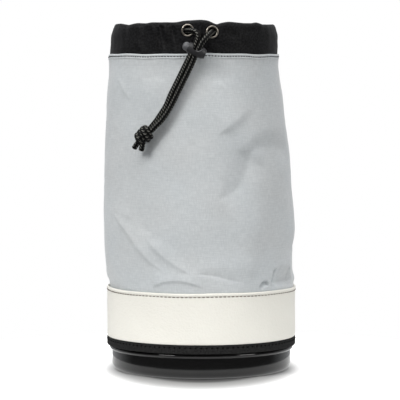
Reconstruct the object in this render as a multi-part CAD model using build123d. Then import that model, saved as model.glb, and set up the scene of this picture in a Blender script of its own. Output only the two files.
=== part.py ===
from build123d import *
import math
import os

# Upright drawstring bag: a woven tube with a gathered drawcord collar, a stiffened leatherette
# band and a moulded base cup. Millimetres, +Z up, origin at the centre of the flat base, on the
# surface that the bag stands on. The front, with the two eyelets, faces -Y.

os.makedirs("parts", exist_ok=True)

# ------------------------------------------------------------------ driving dimensions
# layers of the lower wall, from the outside in
band_radius = 95.0           # outside of the leatherette band
leather_thickness = 1.6
skived_thickness = 0.95      # leatherette pared thin where the trim laps over it
fabric_thickness = 0.9       # coated woven nylon, counted as two plies
stiffener_thickness = 2.4    # plastic sheet between leatherette and weave that keeps the band round
trim_thickness = 0.8         # folded binding strip
trim_proud = 0.2             # how far the trim stands out from the band
ply_gap = 0.05               # air left between two sewn layers

# heights, from the floor up
cup_shoulder_height = 24.1   # where the cup's shoulder meets its sewing flange
trim_gap = 0.9               # shadow gap between the cup's shoulder and the trim
trim_height = 9.0
band_height = 50.0           # leatherette that shows above the trim
fabric_height = 232.6        # woven wall between the band and the collar
collar_height = 31.4         # collar that shows above the woven wall

# base cup
cup_step = 1.1               # shoulder width outside the flange
cup_floor = 2.5
cup_bottom_round = 7.0
cup_shoulder_round = 2.5
flange_wall = 1.5
flange_rise = 18.0           # sewing flange above the shoulder

# band details
turned_edge_height = 2.8     # leatherette folded over at the top of the band
turned_edge_proud = 0.3
stiffener_margin = 5.5       # stiffener stops this far below the band's top
butt_gap = 0.5               # where the two ends of the band meet at the back

# woven wall: how it leans and swells between the band and the collar, at evenly spaced heights.
# Each station: shift of its centre along X, and how far it swells beyond a straight taper.
wall_stations = [
    (-2.4, 2.0),
    (-1.9, 4.9),
    (-2.7, 5.2),
    (-3.5, 4.8),
    (-4.4, 4.3),
    (-5.6, 3.2),
    (-6.8, 1.8),
]
neck_shift = -7.6            # the collar's axis stands this far to the left of the base's

# drawcord collar, a folded tunnel of thinner nylon
collar_radius = 84.2
collar_ply = 0.9
tunnel_width = 6.7           # room between the tunnel's two walls
tunnel_neck = 13.0           # height over which the tunnel narrows to its seam
tunnel_crown_round = 2.4     # outside of the fold along the tunnel's top
hem_depth = 11.6             # overlap of woven wall and collar below the collar's seam line

# eyelets
eyelet_outer_radius = 6.25
eyelet_hole_radius = 4.45
eyelet_wall = 0.45
eyelet_flange = 1.1
eyelet_lip = 0.35
washer_thickness = 0.5
washer_seat = 0.2            # flat washer clear of the curved patch
patch_thickness = 0.6
patch_margin = 7.4           # backing patch beyond each eyelet's centre, round the collar
patch_half_height = 6.6
eyelet_drop = 9.0            # left eyelet's centre below the collar's top
eyelet_stagger = 1.5         # the right eyelet sits lower
eyelet_angle_left = -3.8     # degrees round the collar from the front
eyelet_angle_right = 12.4

# drawcord
cord_diameter = 4.2
cord_spacing = 4.3           # the two tails side by side in the lock
channel_clearance = 0.4
channel_stop_left = -10.7    # degrees round the collar where the run inside the tunnel ends
channel_stop_right = 18.9
channel_lead = 6.5           # straight length inside the tunnel before each eyelet
cord_lean = 26.2             # degrees from vertical of the tails' straight stretch

# cord lock
lock_tilt = 24.0             # degrees that its barrel points below the horizontal
barrel_mouth = 7.9           # from the cord slot's middle to the barrel's open end
barrel_end = 10.5            # from the cord slot's middle to its closed end
barrel_bulge_radius = 5.8
barrel_mouth_radius = 5.1
barrel_tail_radius = 4.9
barrel_end_wall = 0.9
plunger_radius = 4.2
plunger_clearance = 0.15
plunger_reach = 13.1         # from the cord slot's middle to the button's tip
plunger_bridge = 1.0         # wall between the cords and the spring
button_travel = 2.6
slot_clearance = 0.3         # each side of the cords' thickness
slot_play_barrel = 0.6       # each side of the pair of cords, along the barrel
slot_play_plunger = 0.45
spring_wire = 0.4
spring_radius = 2.7
spring_turns = 3

# stitching
thread_diameter = 0.5
hem_stitch_drop = 2.6        # below the woven wall's top edge
band_stitch_drop = 3.4       # below the band's top edge
trim_stitch_drop = 2.9       # below the trim's top edge
seam_row_offset = 3.0        # each row from the back seam
seam_stand_off = 0.4         # back seam's thread above the weave
seam_margin = 4.0
band_seam_bar_length = 6.0
band_seam_bar_diameter = 0.8
band_seam_bar_pitch = 4.5

# ------------------------------------------------------------------ derived radii and heights
leather_inner = band_radius - leather_thickness
stiffener_outer = leather_inner - ply_gap
stiffener_inner = stiffener_outer - stiffener_thickness
fabric_outer = stiffener_inner - ply_gap
fabric_inner = fabric_outer - fabric_thickness
wall_foot_radius = stiffener_outer
trim_outer = band_radius + trim_proud
trim_leg_outer = fabric_inner - ply_gap
trim_leg_inner = trim_leg_outer - trim_thickness
flange_outer = trim_leg_inner - ply_gap
flange_inner = flange_outer - flange_wall
cup_radius = flange_outer + cup_step

trim_bottom = cup_shoulder_height + trim_gap
trim_top = trim_bottom + trim_height
layers_bottom = trim_bottom + trim_thickness + ply_gap
band_top = trim_top + band_height
wall_top = band_top + fabric_height
collar_top = wall_top + collar_height
hem_bottom = wall_top - hem_depth

tunnel_outer = collar_radius - collar_ply
tunnel_inner = tunnel_outer - tunnel_width
collar_inner = tunnel_inner - collar_ply
hem_inner = collar_radius + ply_gap
hem_outer = hem_inner + fabric_thickness
channel_radius = tunnel_inner + channel_clearance + cord_diameter / 2
channel_height = collar_top - eyelet_drop

cord_radius = cord_diameter / 2
thread_radius = thread_diameter / 2
front_of_collar = Vector(neck_shift, -collar_radius, channel_height)


def ring(profile, axis_x=0.0):
    """Turn a closed outline, drawn as radius across and height up, about a vertical axis."""
    return Pos(axis_x, 0, 0) * revolve(Plane.XZ * profile, Axis.Z)


def band_outline(inner, outer, low, high):
    """Upright rectangle between two radii and two heights."""
    corner = (Align.MIN, Align.MIN)
    return Pos(inner, low) * Rectangle(outer - inner, high - low, align=corner)


def thread_spot(radius, height):
    """Round section of a thread that lies half sunk at this radius and height."""
    return Pos(radius, height) * Circle(thread_radius)


def around_collar(radius, degrees, height):
    """Point about the collar's axis, with the angle counted from the front towards +X."""
    turn = math.radians(degrees)
    return Vector(neck_shift + radius * math.sin(turn), -radius * math.cos(turn), height)


# ------------------------------------------------------------------ base and band
def make_base_cup():
    """Moulded cup: flat floor, round bottom edge, narrow shoulder and a thin sewing flange."""
    shoulder_centre = Vector(cup_radius - cup_shoulder_round, 0)
    shoulder_angle = math.acos((cup_shoulder_round - cup_step) / cup_shoulder_round)
    shoulder_start = cup_shoulder_height - cup_shoulder_round * math.sin(shoulder_angle)
    inner_round = cup_bottom_round - cup_floor
    flange_top = cup_shoulder_height + flange_rise
    bottom_edge = CenterArc((cup_radius - cup_bottom_round, cup_bottom_round), cup_bottom_round, -90, 90)
    shoulder = CenterArc(
        (shoulder_centre.X, shoulder_start), cup_shoulder_round, 0, math.degrees(shoulder_angle)
    )
    inside_edge = CenterArc((flange_inner - inner_round, cup_floor + inner_round), inner_round, 0, -90)
    outline = [
        Line((0, 0), bottom_edge @ 0),
        bottom_edge,
        Line(bottom_edge @ 1, shoulder @ 0),
        shoulder,
        Line(shoulder @ 1, (flange_outer, flange_top)),
        Line((flange_outer, flange_top), (flange_inner, flange_top)),
        Line((flange_inner, flange_top), inside_edge @ 0),
        inside_edge,
        Line(inside_edge @ 1, (0, cup_floor)),
        Line((0, cup_floor), (0, 0)),
    ]
    return ring(make_face(outline))


def make_stiffener():
    """Plastic sheet rolled into a tube behind the band."""
    top = band_top - stiffener_margin
    return ring(band_outline(stiffener_inner, stiffener_outer, layers_bottom, top))


def make_leather_band():
    """Leatherette strip: pared under the trim, folded over at the top, ends butted at the back."""
    edge_low = band_top - turned_edge_height
    edge_round = (leather_thickness + turned_edge_proud) / 2 - ply_gap
    turned_edge = band_outline(leather_inner, band_radius + turned_edge_proud, edge_low, band_top)
    turned_edge = fillet(turned_edge.vertices().group_by(Axis.Y)[-1], edge_round)
    profile = band_outline(leather_inner, leather_inner + skived_thickness, layers_bottom, trim_top)
    profile += band_outline(leather_inner, band_radius, trim_top + ply_gap, edge_low)
    profile += band_outline(leather_inner, leather_inner + skived_thickness, trim_top, trim_top + ply_gap)
    profile += turned_edge
    profile -= thread_spot(band_radius, band_top - band_stitch_drop)
    butt = Pos(0, band_radius, band_top / 2) * Box(butt_gap, 4 * leather_thickness, 2 * band_top)
    return ring(profile) - butt


def make_base_trim():
    """Binding strip folded round the lower edge of every layer, a channel open at the top."""
    profile = band_outline(trim_leg_inner, trim_outer, trim_bottom, trim_top)
    low_corner = profile.vertices().sort_by(Axis.Y)[:2].sort_by(Axis.X)[-1:]
    profile = fillet(low_corner, 1.5 * trim_thickness)
    channel_floor = trim_bottom + trim_thickness
    profile -= band_outline(trim_leg_outer, trim_outer - trim_thickness, channel_floor, trim_top)
    profile -= thread_spot(trim_outer, trim_top - trim_stitch_drop)
    return ring(profile)


# ------------------------------------------------------------------ woven wall
def wall_section(share, shift, swell, inset):
    """Circle of the woven wall at a share of its height, made smaller by the inset."""
    start = band_top + 3 * ply_gap
    height = start + share * (hem_bottom - start)
    taper = wall_foot_radius + share * (hem_outer - wall_foot_radius)
    return Pos(shift, 0, height) * Circle(taper + swell - inset)


def wall_tube(inset):
    """Smooth solid through every station of the wall, thinner all over by the inset."""
    stations = [(0.0, 0.0)] + wall_stations + [(neck_shift, 0.0)]
    last = len(stations) - 1
    sections = [wall_section(index / last, *station, inset) for index, station in enumerate(stations)]
    return loft(sections)


def make_body_fabric():
    """Woven tube: straight behind the stiffener, out over its edge, swelling above, hemmed on top."""
    start = band_top + 3 * ply_gap
    jog = band_top - stiffener_margin + ply_gap
    lower = Polygon(
        (fabric_inner, layers_bottom),
        (fabric_outer, layers_bottom),
        (fabric_outer, jog),
        (wall_foot_radius, start),
        (wall_foot_radius - fabric_thickness, start),
        (fabric_inner, jog + fabric_thickness / 2),
        align=None,
    )
    hem_profile = band_outline(hem_inner, hem_outer, hem_bottom, wall_top)
    hem_profile = fillet(hem_profile.vertices().group_by(Axis.Y)[-1], fabric_thickness / 2 - ply_gap)
    hem_profile -= thread_spot(hem_outer, wall_top - hem_stitch_drop)
    hem = ring(hem_profile, neck_shift)
    return ring(lower) + (wall_tube(0.0) - wall_tube(fabric_thickness)) + hem


# ------------------------------------------------------------------ collar and eyelets
def eyelet_plane(degrees, height):
    """Plane on the collar's outside at an eyelet, looking straight out."""
    place = around_collar(collar_radius, degrees, height)
    outward = Vector(place.X - neck_shift, place.Y, 0).normalized()
    return Plane(origin=place, x_dir=(0, 0, 1), z_dir=outward)


eyelet_planes = {
    "left": eyelet_plane(eyelet_angle_left, channel_height),
    "right": eyelet_plane(eyelet_angle_right, channel_height - eyelet_stagger),
}
eyelet_bore = eyelet_hole_radius + eyelet_wall + ply_gap


def eyelet_holes():
    """Cutters for the fabric under both eyelets: they pass the outer wall of the tunnel alone."""
    depth = collar_ply + tunnel_width / 2
    drill = Cylinder(eyelet_bore, 2 * depth)
    return [plane * drill for plane in eyelet_planes.values()]


def make_collar():
    """Nylon strip folded over the drawcord, its two edges sewn together inside the hem."""
    flange_inside = collar_radius - 2 * collar_ply
    neck_top = wall_top + tunnel_neck
    room_top = collar_top - collar_ply
    outside = Polygon(
        (collar_radius, hem_bottom),
        (collar_radius, collar_top),
        (collar_inner, collar_top),
        (collar_inner, neck_top),
        (flange_inside, wall_top),
        (flange_inside, hem_bottom),
        align=None,
    )
    room = Polygon(
        (tunnel_outer, wall_top),
        (tunnel_outer, room_top),
        (tunnel_inner, room_top),
        (tunnel_inner, neck_top),
        align=None,
    )
    outside = fillet(outside.vertices().group_by(Axis.Y)[-1], tunnel_crown_round)
    room = fillet(room.vertices().group_by(Axis.Y)[-1], tunnel_crown_round - collar_ply)
    collar = ring(outside - room, neck_shift)
    for hole in eyelet_holes():
        collar -= hole
    return collar


def make_backing_patch():
    """Strip behind both eyelets that keeps the thin nylon from tearing."""
    outer = tunnel_outer - ply_gap
    middle = channel_height - eyelet_stagger / 2
    low = middle - patch_half_height
    profile = band_outline(outer - patch_thickness, outer, low, low + 2 * patch_half_height)
    margin = math.degrees(patch_margin / collar_radius)
    sweep_angle = eyelet_angle_right - eyelet_angle_left + 2 * margin
    strip = revolve(Plane.XZ * profile, Axis.Z, sweep_angle)
    strip = Pos(neck_shift, 0, 0) * Rot(0, 0, -90 + eyelet_angle_left - margin) * strip
    for hole in eyelet_holes():
        strip -= hole
    return strip


washer_face = -(collar_ply + patch_thickness + 2 * ply_gap + washer_seat)


def make_eyelet(side):
    """Rolled flange outside, a tube through the fabric and a lip turned over the washer."""
    tube_outer = eyelet_hole_radius + eyelet_wall
    tube_end = washer_face - washer_thickness - eyelet_lip
    crown = ThreePointArc(
        (eyelet_hole_radius, eyelet_flange / 3),
        (eyelet_hole_radius + 0.7 * (eyelet_outer_radius - eyelet_hole_radius) / 2, eyelet_flange),
        (eyelet_outer_radius, 0),
    )
    lip_outer = tube_outer + eyelet_lip
    outline = [
        crown,
        Line((eyelet_outer_radius, 0), (tube_outer, 0)),
        Line((tube_outer, 0), (tube_outer, tube_end + eyelet_lip)),
        Line((tube_outer, tube_end + eyelet_lip), (lip_outer, tube_end + eyelet_lip)),
        Line((lip_outer, tube_end + eyelet_lip), (lip_outer, tube_end)),
        Line((lip_outer, tube_end), (eyelet_hole_radius, tube_end)),
        Line((eyelet_hole_radius, tube_end), crown @ 0),
    ]
    return eyelet_planes[side] * revolve(Plane.XZ * make_face(outline), Axis.Z)


def make_eyelet_washer(side):
    """Flat ring that the eyelet is closed over, inside the tunnel."""
    bore = eyelet_hole_radius + eyelet_wall + ply_gap
    disc = Cylinder(eyelet_outer_radius, washer_thickness, align=(Align.CENTER, Align.CENTER, Align.MAX))
    washer = disc - Cylinder(bore, 4 * washer_thickness)
    return eyelet_planes[side] * Pos(0, 0, washer_face) * washer


# ------------------------------------------------------------------ drawcord
lean = math.radians(cord_lean)
cord_down = Vector(-math.sin(lean), 0, -math.cos(lean))
cord_across = Vector(math.cos(lean), 0, -math.sin(lean))
lock_centre = front_of_collar + Vector(1.95, -9.3, -19.3)
straight_above = 8.5         # the tails are straight from here above the lock's middle
straight_below = 58.0        # to here below it
knot_centre = front_of_collar + Vector(-47.7, -3.0, -101.6)
knot_axis = Vector(-0.68, 0.14, -0.72).normalized()
knot_radius = 8.6
knot_length = 16.5
knot_waist = 0.62            # share of the knot's radius at its two ends
knot_tips = [                # start and end of each cut end
    (knot_centre + Vector(-4.6, 0.6, -4.6), knot_centre + Vector(-10.2, 2.6, -13.0)),
    (knot_centre + Vector(-1.2, -1.2, -5.2), knot_centre + Vector(-3.1, 0.2, -15.0)),
]


def channel_point(degrees, toward_right):
    """End of the run inside the tunnel, and the end of its straight lead to the eyelet."""
    end = around_collar(channel_radius, degrees, channel_height)
    turn = math.radians(degrees)
    lead = Vector(math.cos(turn), math.sin(turn), 0) * (channel_lead if toward_right else -channel_lead)
    return [end, end + lead]


def beside(distance, side):
    """Point on one tail's straight stretch, counted down from the lock's middle."""
    return lock_centre + cord_down * distance + cord_across * (side * cord_spacing / 2)


left_route = channel_point(channel_stop_left, True) + [
    front_of_collar + Vector(-1.7, -4.6, 0.0),
    front_of_collar + Vector(4.2, -8.7, -2.2),
    beside(-straight_above, -1),
    beside(straight_below, -1),
    front_of_collar + Vector(-35.0, -7.1, -84.5),
    front_of_collar + Vector(-42.0, -4.2, -94.9),
]
right_route = channel_point(channel_stop_right, False) + [
    front_of_collar + Vector(15.0, -5.2, -4.4),
    front_of_collar + Vector(11.0, -8.6, -8.4),
    beside(-straight_above + 1.0, 1),
    beside(straight_below, 1),
    front_of_collar + Vector(-31.8, -10.3, -87.3),
    front_of_collar + Vector(-40.7, -7.9, -97.2),
]


def cord_tube(name, route):
    """Round tube along straight runs joined by arcs as large as the runs allow."""
    runs = [(b - a).length for a, b in zip(route, route[1:])]
    radii = []
    for before, here, after in zip(route, route[1:], route[2:]):
        turn = math.radians((here - before).get_angle(after - here))
        shorter = min((here - before).length, (after - here).length)
        radii.append(0.45 * shorter / math.tan(turn / 2))
    path = FilletPolyline(*route, radius=radii)
    tube = sweep(Plane(origin=path @ 0, z_dir=path % 0) * Circle(cord_radius), path=path)
    expected = math.pi * cord_radius**2 * path.length
    print(name, "length", round(path.length, 1), "volume over expected", round(tube.volume / expected, 4))
    print("   runs", [round(run, 1) for run in runs], "radii", [round(radius, 1) for radius in radii])
    return tube


def make_channel_run():
    """Cord inside the tunnel, from behind one eyelet round the back to the other."""
    profile = Pos(channel_radius, channel_height) * Circle(cord_radius)
    span = 360 - (channel_stop_right - channel_stop_left)
    run = revolve(Plane.XZ * profile, Axis.Z, span)
    print("drawcord_channel_run length", round(math.radians(span) * channel_radius, 1))
    return Pos(neck_shift, 0, 0) * Rot(0, 0, -90 + channel_stop_right) * run


def make_knot():
    """Overhand knot of both tails drawn tight, with the two cut ends standing out below it."""
    half = knot_length / 2
    waist = knot_waist * knot_radius
    side = ThreePointArc((waist, -half), (knot_radius, 0), (waist, half))
    outline = [
        side,
        Line((waist, half), (0, half)),
        Line((0, half), (0, -half)),
        Line((0, -half), (waist, -half)),
    ]
    across = Vector(0, -1, 0).cross(knot_axis).normalized()
    plane = Plane(origin=knot_centre, x_dir=across, z_dir=knot_axis)
    knot = plane * revolve(Plane.XZ * make_face(outline), Axis.Z)
    for start, end in knot_tips:
        direction = end - start
        tip = Cylinder(cord_radius, direction.length, align=(Align.CENTER, Align.CENTER, Align.MIN))
        knot += Plane(origin=start, z_dir=direction.normalized()) * tip
    return knot


# ------------------------------------------------------------------ cord lock
tilt = math.radians(lock_tilt)
lock_along = Vector(math.cos(tilt), 0, -math.sin(tilt))
lock_up = Vector(math.sin(tilt), 0, math.cos(tilt))
lock_plane = Plane(origin=lock_centre, x_dir=lock_along, z_dir=lock_up)
pair_half = (cord_spacing + cord_diameter) / 2
slot_half_width = cord_radius + slot_clearance
plunger_end = pair_half + slot_play_plunger + plunger_bridge
barrel_bore = plunger_radius + plunger_clearance
spring_room_end = barrel_end - barrel_end_wall


def cord_slot(low, high):
    """Oblong cutter for the pair of cords, between two places along the barrel."""
    middle = (low + high) / 2
    oblong = SlotOverall(high - low, 2 * slot_half_width)
    return Pos(middle, 0, 0) * extrude(oblong, amount=2 * barrel_bulge_radius, both=True)


def make_barrel():
    """Barrel of the lock: open at the mouth, closed at the far end, crossed by the cord slot."""
    rim = 0.35
    mouth_top = (-barrel_mouth + rim, barrel_mouth_radius)
    tail_top = (barrel_end - 2.0, barrel_tail_radius + rim)
    bulge = ThreePointArc(mouth_top, (1.0, barrel_bulge_radius), tail_top)
    outline = [
        Line((-barrel_mouth, barrel_bore), (-barrel_mouth, barrel_mouth_radius - rim)),
        Line((-barrel_mouth, barrel_mouth_radius - rim), mouth_top),
        bulge,
        Line(bulge @ 1, (barrel_end - 1.6, barrel_tail_radius - 0.25)),
        Line((barrel_end - 1.6, barrel_tail_radius - 0.25), (barrel_end - 0.5, barrel_tail_radius - 0.25)),
        Line((barrel_end - 0.5, barrel_tail_radius - 0.25), (barrel_end, barrel_tail_radius - 0.85)),
        Line((barrel_end, barrel_tail_radius - 0.85), (barrel_end, 0)),
        Line((barrel_end, 0), (spring_room_end, 0)),
        Line((spring_room_end, 0), (spring_room_end, barrel_bore)),
        Line((spring_room_end, barrel_bore), (-barrel_mouth, barrel_bore)),
    ]
    barrel = revolve(Plane.XZ * make_face(outline), Axis.X)
    reach = pair_half + slot_play_barrel
    return lock_plane * (barrel - cord_slot(-reach, reach))


def make_plunger():
    """Push button: a domed rod with an oblong hole that stays clear of the cords as it travels."""
    dome_start = -plunger_reach + 2.6
    dome_middle = (-plunger_reach + 0.75, 0.7 * plunger_radius)
    dome = ThreePointArc((-plunger_reach, 0), dome_middle, (dome_start, plunger_radius))
    outline = [
        dome,
        Line((dome_start, plunger_radius), (plunger_end, plunger_radius)),
        Line((plunger_end, plunger_radius), (plunger_end, 0)),
        Line((plunger_end, 0), (-plunger_reach, 0)),
    ]
    rod = revolve(Plane.XZ * make_face(outline), Axis.X)
    reach = pair_half + slot_play_plunger
    return lock_plane * (rod - cord_slot(-reach - button_travel, reach))


def biarc(start, start_dir, end, end_dir):
    """Two tangent arcs that leave start and reach end in the given directions."""
    chord = end - start
    both = start_dir + end_dir
    bend = 2 * (1 - start_dir.dot(end_dir))
    reach = (-chord.dot(both) + math.sqrt(chord.dot(both) ** 2 + bend * chord.dot(chord))) / bend
    joint = (start + start_dir * reach + end - end_dir * reach) / 2
    middle_dir = (end - end_dir * reach) - (start + start_dir * reach)
    return [TangentArc(start, joint, tangent=start_dir), TangentArc(joint, end, tangent=middle_dir)]


def make_spring():
    """Compression spring between the plunger and the barrel's closed end."""
    low = plunger_end + spring_wire / 2 + ply_gap
    high = spring_room_end - spring_wire / 2 - ply_gap
    quarters = 4 * spring_turns
    rise = (high - low) / quarters

    def point(step):
        turn = step * math.pi / 2
        return Vector(low + rise * step, spring_radius * math.cos(turn), spring_radius * math.sin(turn))

    def heading(step):
        turn = step * math.pi / 2
        per_turn = rise / (math.pi / 2)
        return Vector(per_turn, -spring_radius * math.sin(turn), spring_radius * math.cos(turn)).normalized()

    edges = []
    for step in range(quarters):
        edges += biarc(point(step), heading(step), point(step + 1), heading(step + 1))
    path = Wire(edges)
    coil = sweep(Plane(origin=path @ 0, z_dir=path % 0) * Circle(spring_wire / 2), path=path)
    pitch = (high - low) / spring_turns
    print("cord_lock_spring pitch", round(pitch, 2), "gap between turns", round(pitch - spring_wire, 2))
    print("   volume over expected", round(coil.volume / (math.pi * (spring_wire / 2) ** 2 * path.length), 4))
    return lock_plane * coil


# ------------------------------------------------------------------ stitching
def thread_ring(radius, height, axis_x=0.0):
    """One row of stitches round the bag, as a closed thread in its groove."""
    return ring(thread_spot(radius, height), axis_x)


def make_back_seam_stitching(wall):
    """Two rows of thread that close the woven tube at the back, laid on its outside."""
    rows = []
    low = band_top + seam_margin
    high = hem_bottom - seam_margin
    steps = 9
    for side in (-1, 1):
        points = []
        for index in range(steps + 1):
            height = low + (high - low) * index / steps
            share = (height - band_top) / (hem_bottom - band_top)
            across = neck_shift * share + side * seam_row_offset
            ray = Axis((across, 0, height), (0, 1, 0))
            surface = max(hit[0].Y for hit in wall.find_intersection_points(ray))
            points.append(Vector(across, surface + thread_radius + seam_stand_off, height))
        rows.append(thread_line(points))
    return Compound(children=rows)


def thread_line(points):
    """Thread along straight runs with small arcs between them."""
    radii = []
    for before, here, after in zip(points, points[1:], points[2:]):
        turn = math.radians((here - before).get_angle(after - here))
        shorter = min((here - before).length, (after - here).length)
        radii.append(0.4 * shorter / math.tan(max(turn, 1e-4) / 2))
    path = FilletPolyline(*points, radius=radii)
    return sweep(Plane(origin=path @ 0, z_dir=path % 0) * Circle(thread_radius), path=path)


def make_band_seam_stitching():
    """Short bars of heavy thread that lace the two ends of the band together at the back."""
    bar_radius = band_seam_bar_diameter / 2
    span = band_height - 2 * band_stitch_drop - turned_edge_height
    count = int(span / band_seam_bar_pitch)
    first = trim_top + (band_height - turned_edge_height - (count - 1) * band_seam_bar_pitch) / 2
    bars = []
    for index in range(count):
        height = first + index * band_seam_bar_pitch
        place = Pos(0, band_radius + bar_radius + ply_gap, height) * Rot(0, 90, 0)
        bar = Cylinder(bar_radius, band_seam_bar_length)
        bars.append(place * fillet(bar.edges().filter_by(GeomType.CIRCLE), 0.6 * bar_radius))
    return Compound(children=bars)


# ------------------------------------------------------------------ build and write
body_fabric = make_body_fabric()
parts = {
    "base_cup": make_base_cup(),
    "band_stiffener": make_stiffener(),
    "leather_band": make_leather_band(),
    "base_trim": make_base_trim(),
    "body_fabric": body_fabric,
    "drawcord_collar": make_collar(),
    "eyelet_backing_patch": make_backing_patch(),
    "eyelet_left": make_eyelet("left"),
    "eyelet_right": make_eyelet("right"),
    "eyelet_washer_left": make_eyelet_washer("left"),
    "eyelet_washer_right": make_eyelet_washer("right"),
    "drawcord_channel_run": make_channel_run(),
    "drawcord_tail_left": cord_tube("drawcord_tail_left", left_route),
    "drawcord_tail_right": cord_tube("drawcord_tail_right", right_route),
    "drawcord_knot": make_knot(),
    "cord_lock_barrel": make_barrel(),
    "cord_lock_plunger": make_plunger(),
    "cord_lock_spring": make_spring(),
    "hem_topstitch": thread_ring(hem_outer, wall_top - hem_stitch_drop, neck_shift),
    "band_topstitch": thread_ring(band_radius, band_top - band_stitch_drop),
    "trim_stitching": thread_ring(trim_outer, trim_top - trim_stitch_drop),
    "back_seam_stitching": make_back_seam_stitching(body_fabric),
    "band_seam_stitching": make_band_seam_stitching(),
}

for node, shape in parts.items():
    export_step(shape, os.path.join("parts", node + ".step"))
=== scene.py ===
import math

import bmesh
import bpy
import numpy as np
from mathutils import Matrix, Vector


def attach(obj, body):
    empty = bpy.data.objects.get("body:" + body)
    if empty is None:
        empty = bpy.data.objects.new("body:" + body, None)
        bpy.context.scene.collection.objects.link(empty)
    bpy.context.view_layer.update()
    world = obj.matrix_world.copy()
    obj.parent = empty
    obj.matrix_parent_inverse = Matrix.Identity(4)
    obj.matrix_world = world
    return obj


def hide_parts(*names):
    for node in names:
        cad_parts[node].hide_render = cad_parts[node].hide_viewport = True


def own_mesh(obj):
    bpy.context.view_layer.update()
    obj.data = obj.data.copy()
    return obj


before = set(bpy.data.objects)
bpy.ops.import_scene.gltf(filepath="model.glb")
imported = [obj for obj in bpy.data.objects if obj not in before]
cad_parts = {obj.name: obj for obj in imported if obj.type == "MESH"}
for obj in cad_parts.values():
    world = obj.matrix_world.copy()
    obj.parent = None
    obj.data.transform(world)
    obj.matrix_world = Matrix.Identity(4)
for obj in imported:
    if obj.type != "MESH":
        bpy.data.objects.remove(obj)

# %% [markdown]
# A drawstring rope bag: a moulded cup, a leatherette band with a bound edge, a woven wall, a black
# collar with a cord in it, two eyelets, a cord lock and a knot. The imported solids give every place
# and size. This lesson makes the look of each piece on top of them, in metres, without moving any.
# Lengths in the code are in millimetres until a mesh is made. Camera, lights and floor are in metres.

MM = 0.001
TAU = 2 * math.pi
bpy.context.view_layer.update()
scene = bpy.context.scene


def linear(hex_colour):
    """sRGB hex, as a painter would name it, to the linear colour that shaders need."""
    channels = [int(hex_colour[i:i + 2], 16) / 255 for i in (0, 2, 4)]
    return tuple(c / 12.92 if c <= 0.04045 else ((c + 0.055) / 1.055) ** 2.4 for c in channels) + (1.0,)


def smooth(x):
    """0 below 0, 1 above 1, and an even ease between."""
    x = np.clip(x, 0.0, 1.0)
    return x * x * (3 - 2 * x)


def unit(v):
    v = np.asarray(v, float)
    return v / np.linalg.norm(v)


def add_object(name, data):
    piece = bpy.data.objects.new(name, data)
    scene.collection.objects.link(piece)
    return piece


def evaluated_mesh(piece):
    """The mesh that an object has once its spline or its modifiers are worked out."""
    bpy.context.view_layer.update()
    return bpy.data.meshes.new_from_object(piece.evaluated_get(bpy.context.evaluated_depsgraph_get()))


def stands_for(piece, node, body="bag"):
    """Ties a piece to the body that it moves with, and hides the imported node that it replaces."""
    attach(piece, body)
    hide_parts(node)
    print(piece.name, "stands for", node, "on the", body, "and has", len(piece.data.polygons), "faces")


# %% [markdown]
# The camera stands a little over two metres off, level with the bag's upper part, and looks three
# degrees down. A long lens keeps the bag's sides upright. A shorter lens nearer to the bag would
# make the base bulge, so distance and lens were settled together from the base's ellipses.

# %% Camera
LOOK_DOWN = 3.12       # degrees
camera_data = bpy.data.cameras.new("studio_camera")
camera_data.sensor_width = 36
camera_data.lens = 198
camera = add_object("studio_camera", camera_data)
camera.location = (-0.00126, -2.218, 0.291)
camera.rotation_euler = (math.radians(90 - LOOK_DOWN), 0, 0)
scene.camera = camera
print("camera stands", round(-camera.location.y, 3), "m in front, with a lens of", camera_data.lens, "mm")

# %% [markdown]
# A material is a node tree. One function adds a node, one starts a material on its shader, and one
# ends it with a tone and a fine relief. The room comes next. It could be a lit box with walls, but a
# world that is dark in front, bright behind and bright overhead gives a cleaner light: the glossy
# cup shows two pale edges and a dark middle, and the soft boxes shape the folds. The camera itself
# sees plain white beyond the floor.

# %% Nodes and materials
scene.view_settings.view_transform = "Standard"
scene.view_settings.look = "None"
WHITE = (1, 1, 1, 1)


def fill(node, values):
    """Gives a node's inputs their values: another node's output is linked, all else is set."""
    for key, value in values.items():
        if isinstance(value, bpy.types.NodeSocket):
            node.id_data.links.new(value, node.inputs[key])
        else:
            node.inputs[key].default_value = value


def add_node(tree, kind, values=None, out=0, stops=(), **settings):
    """Adds a shader node with its settings and input values, and returns one output of it.

    stops: a ramp's colours, each with its place from 0 to 1.
    """
    node = tree.nodes.new("ShaderNode" + kind)
    for index, (place, colour) in enumerate(stops):
        if index > 1:
            node.color_ramp.elements.new(place)
        node.color_ramp.elements[index].position = place
        node.color_ramp.elements[index].color = linear(colour)
    for key, value in settings.items():
        setattr(node, key, value)
    fill(node, values or {})
    return node.outputs[out]


def start_material(name, base, roughness, **sockets):
    """A named material with its shader ready: returns the material and its node tree."""
    material = bpy.data.materials.new(name)
    material.use_nodes = True
    shader = material.node_tree.nodes["Principled BSDF"]
    fill(shader, {"Base Color": linear(base), "Roughness": roughness})
    fill(shader, {key.replace("_", " "): value for key, value in sockets.items()})
    print("material", name, "starts from", base, "at roughness", roughness)
    return material, material.node_tree


def tone_and_relief(tree, pattern, stops, height, strength, depth_mm, **bump_settings):
    """How most finishes end: a pattern gives the tone, and a height gives the fine relief."""
    tone = add_node(tree, "ValToRGB", {"Fac": pattern}, stops=stops)
    bump = add_node(tree, "Bump", {"Strength": strength, "Distance": depth_mm * MM, "Height": height},
                    **bump_settings)
    fill(tree.nodes["Principled BSDF"], {"Base Color": tone, "Normal": bump})


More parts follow.
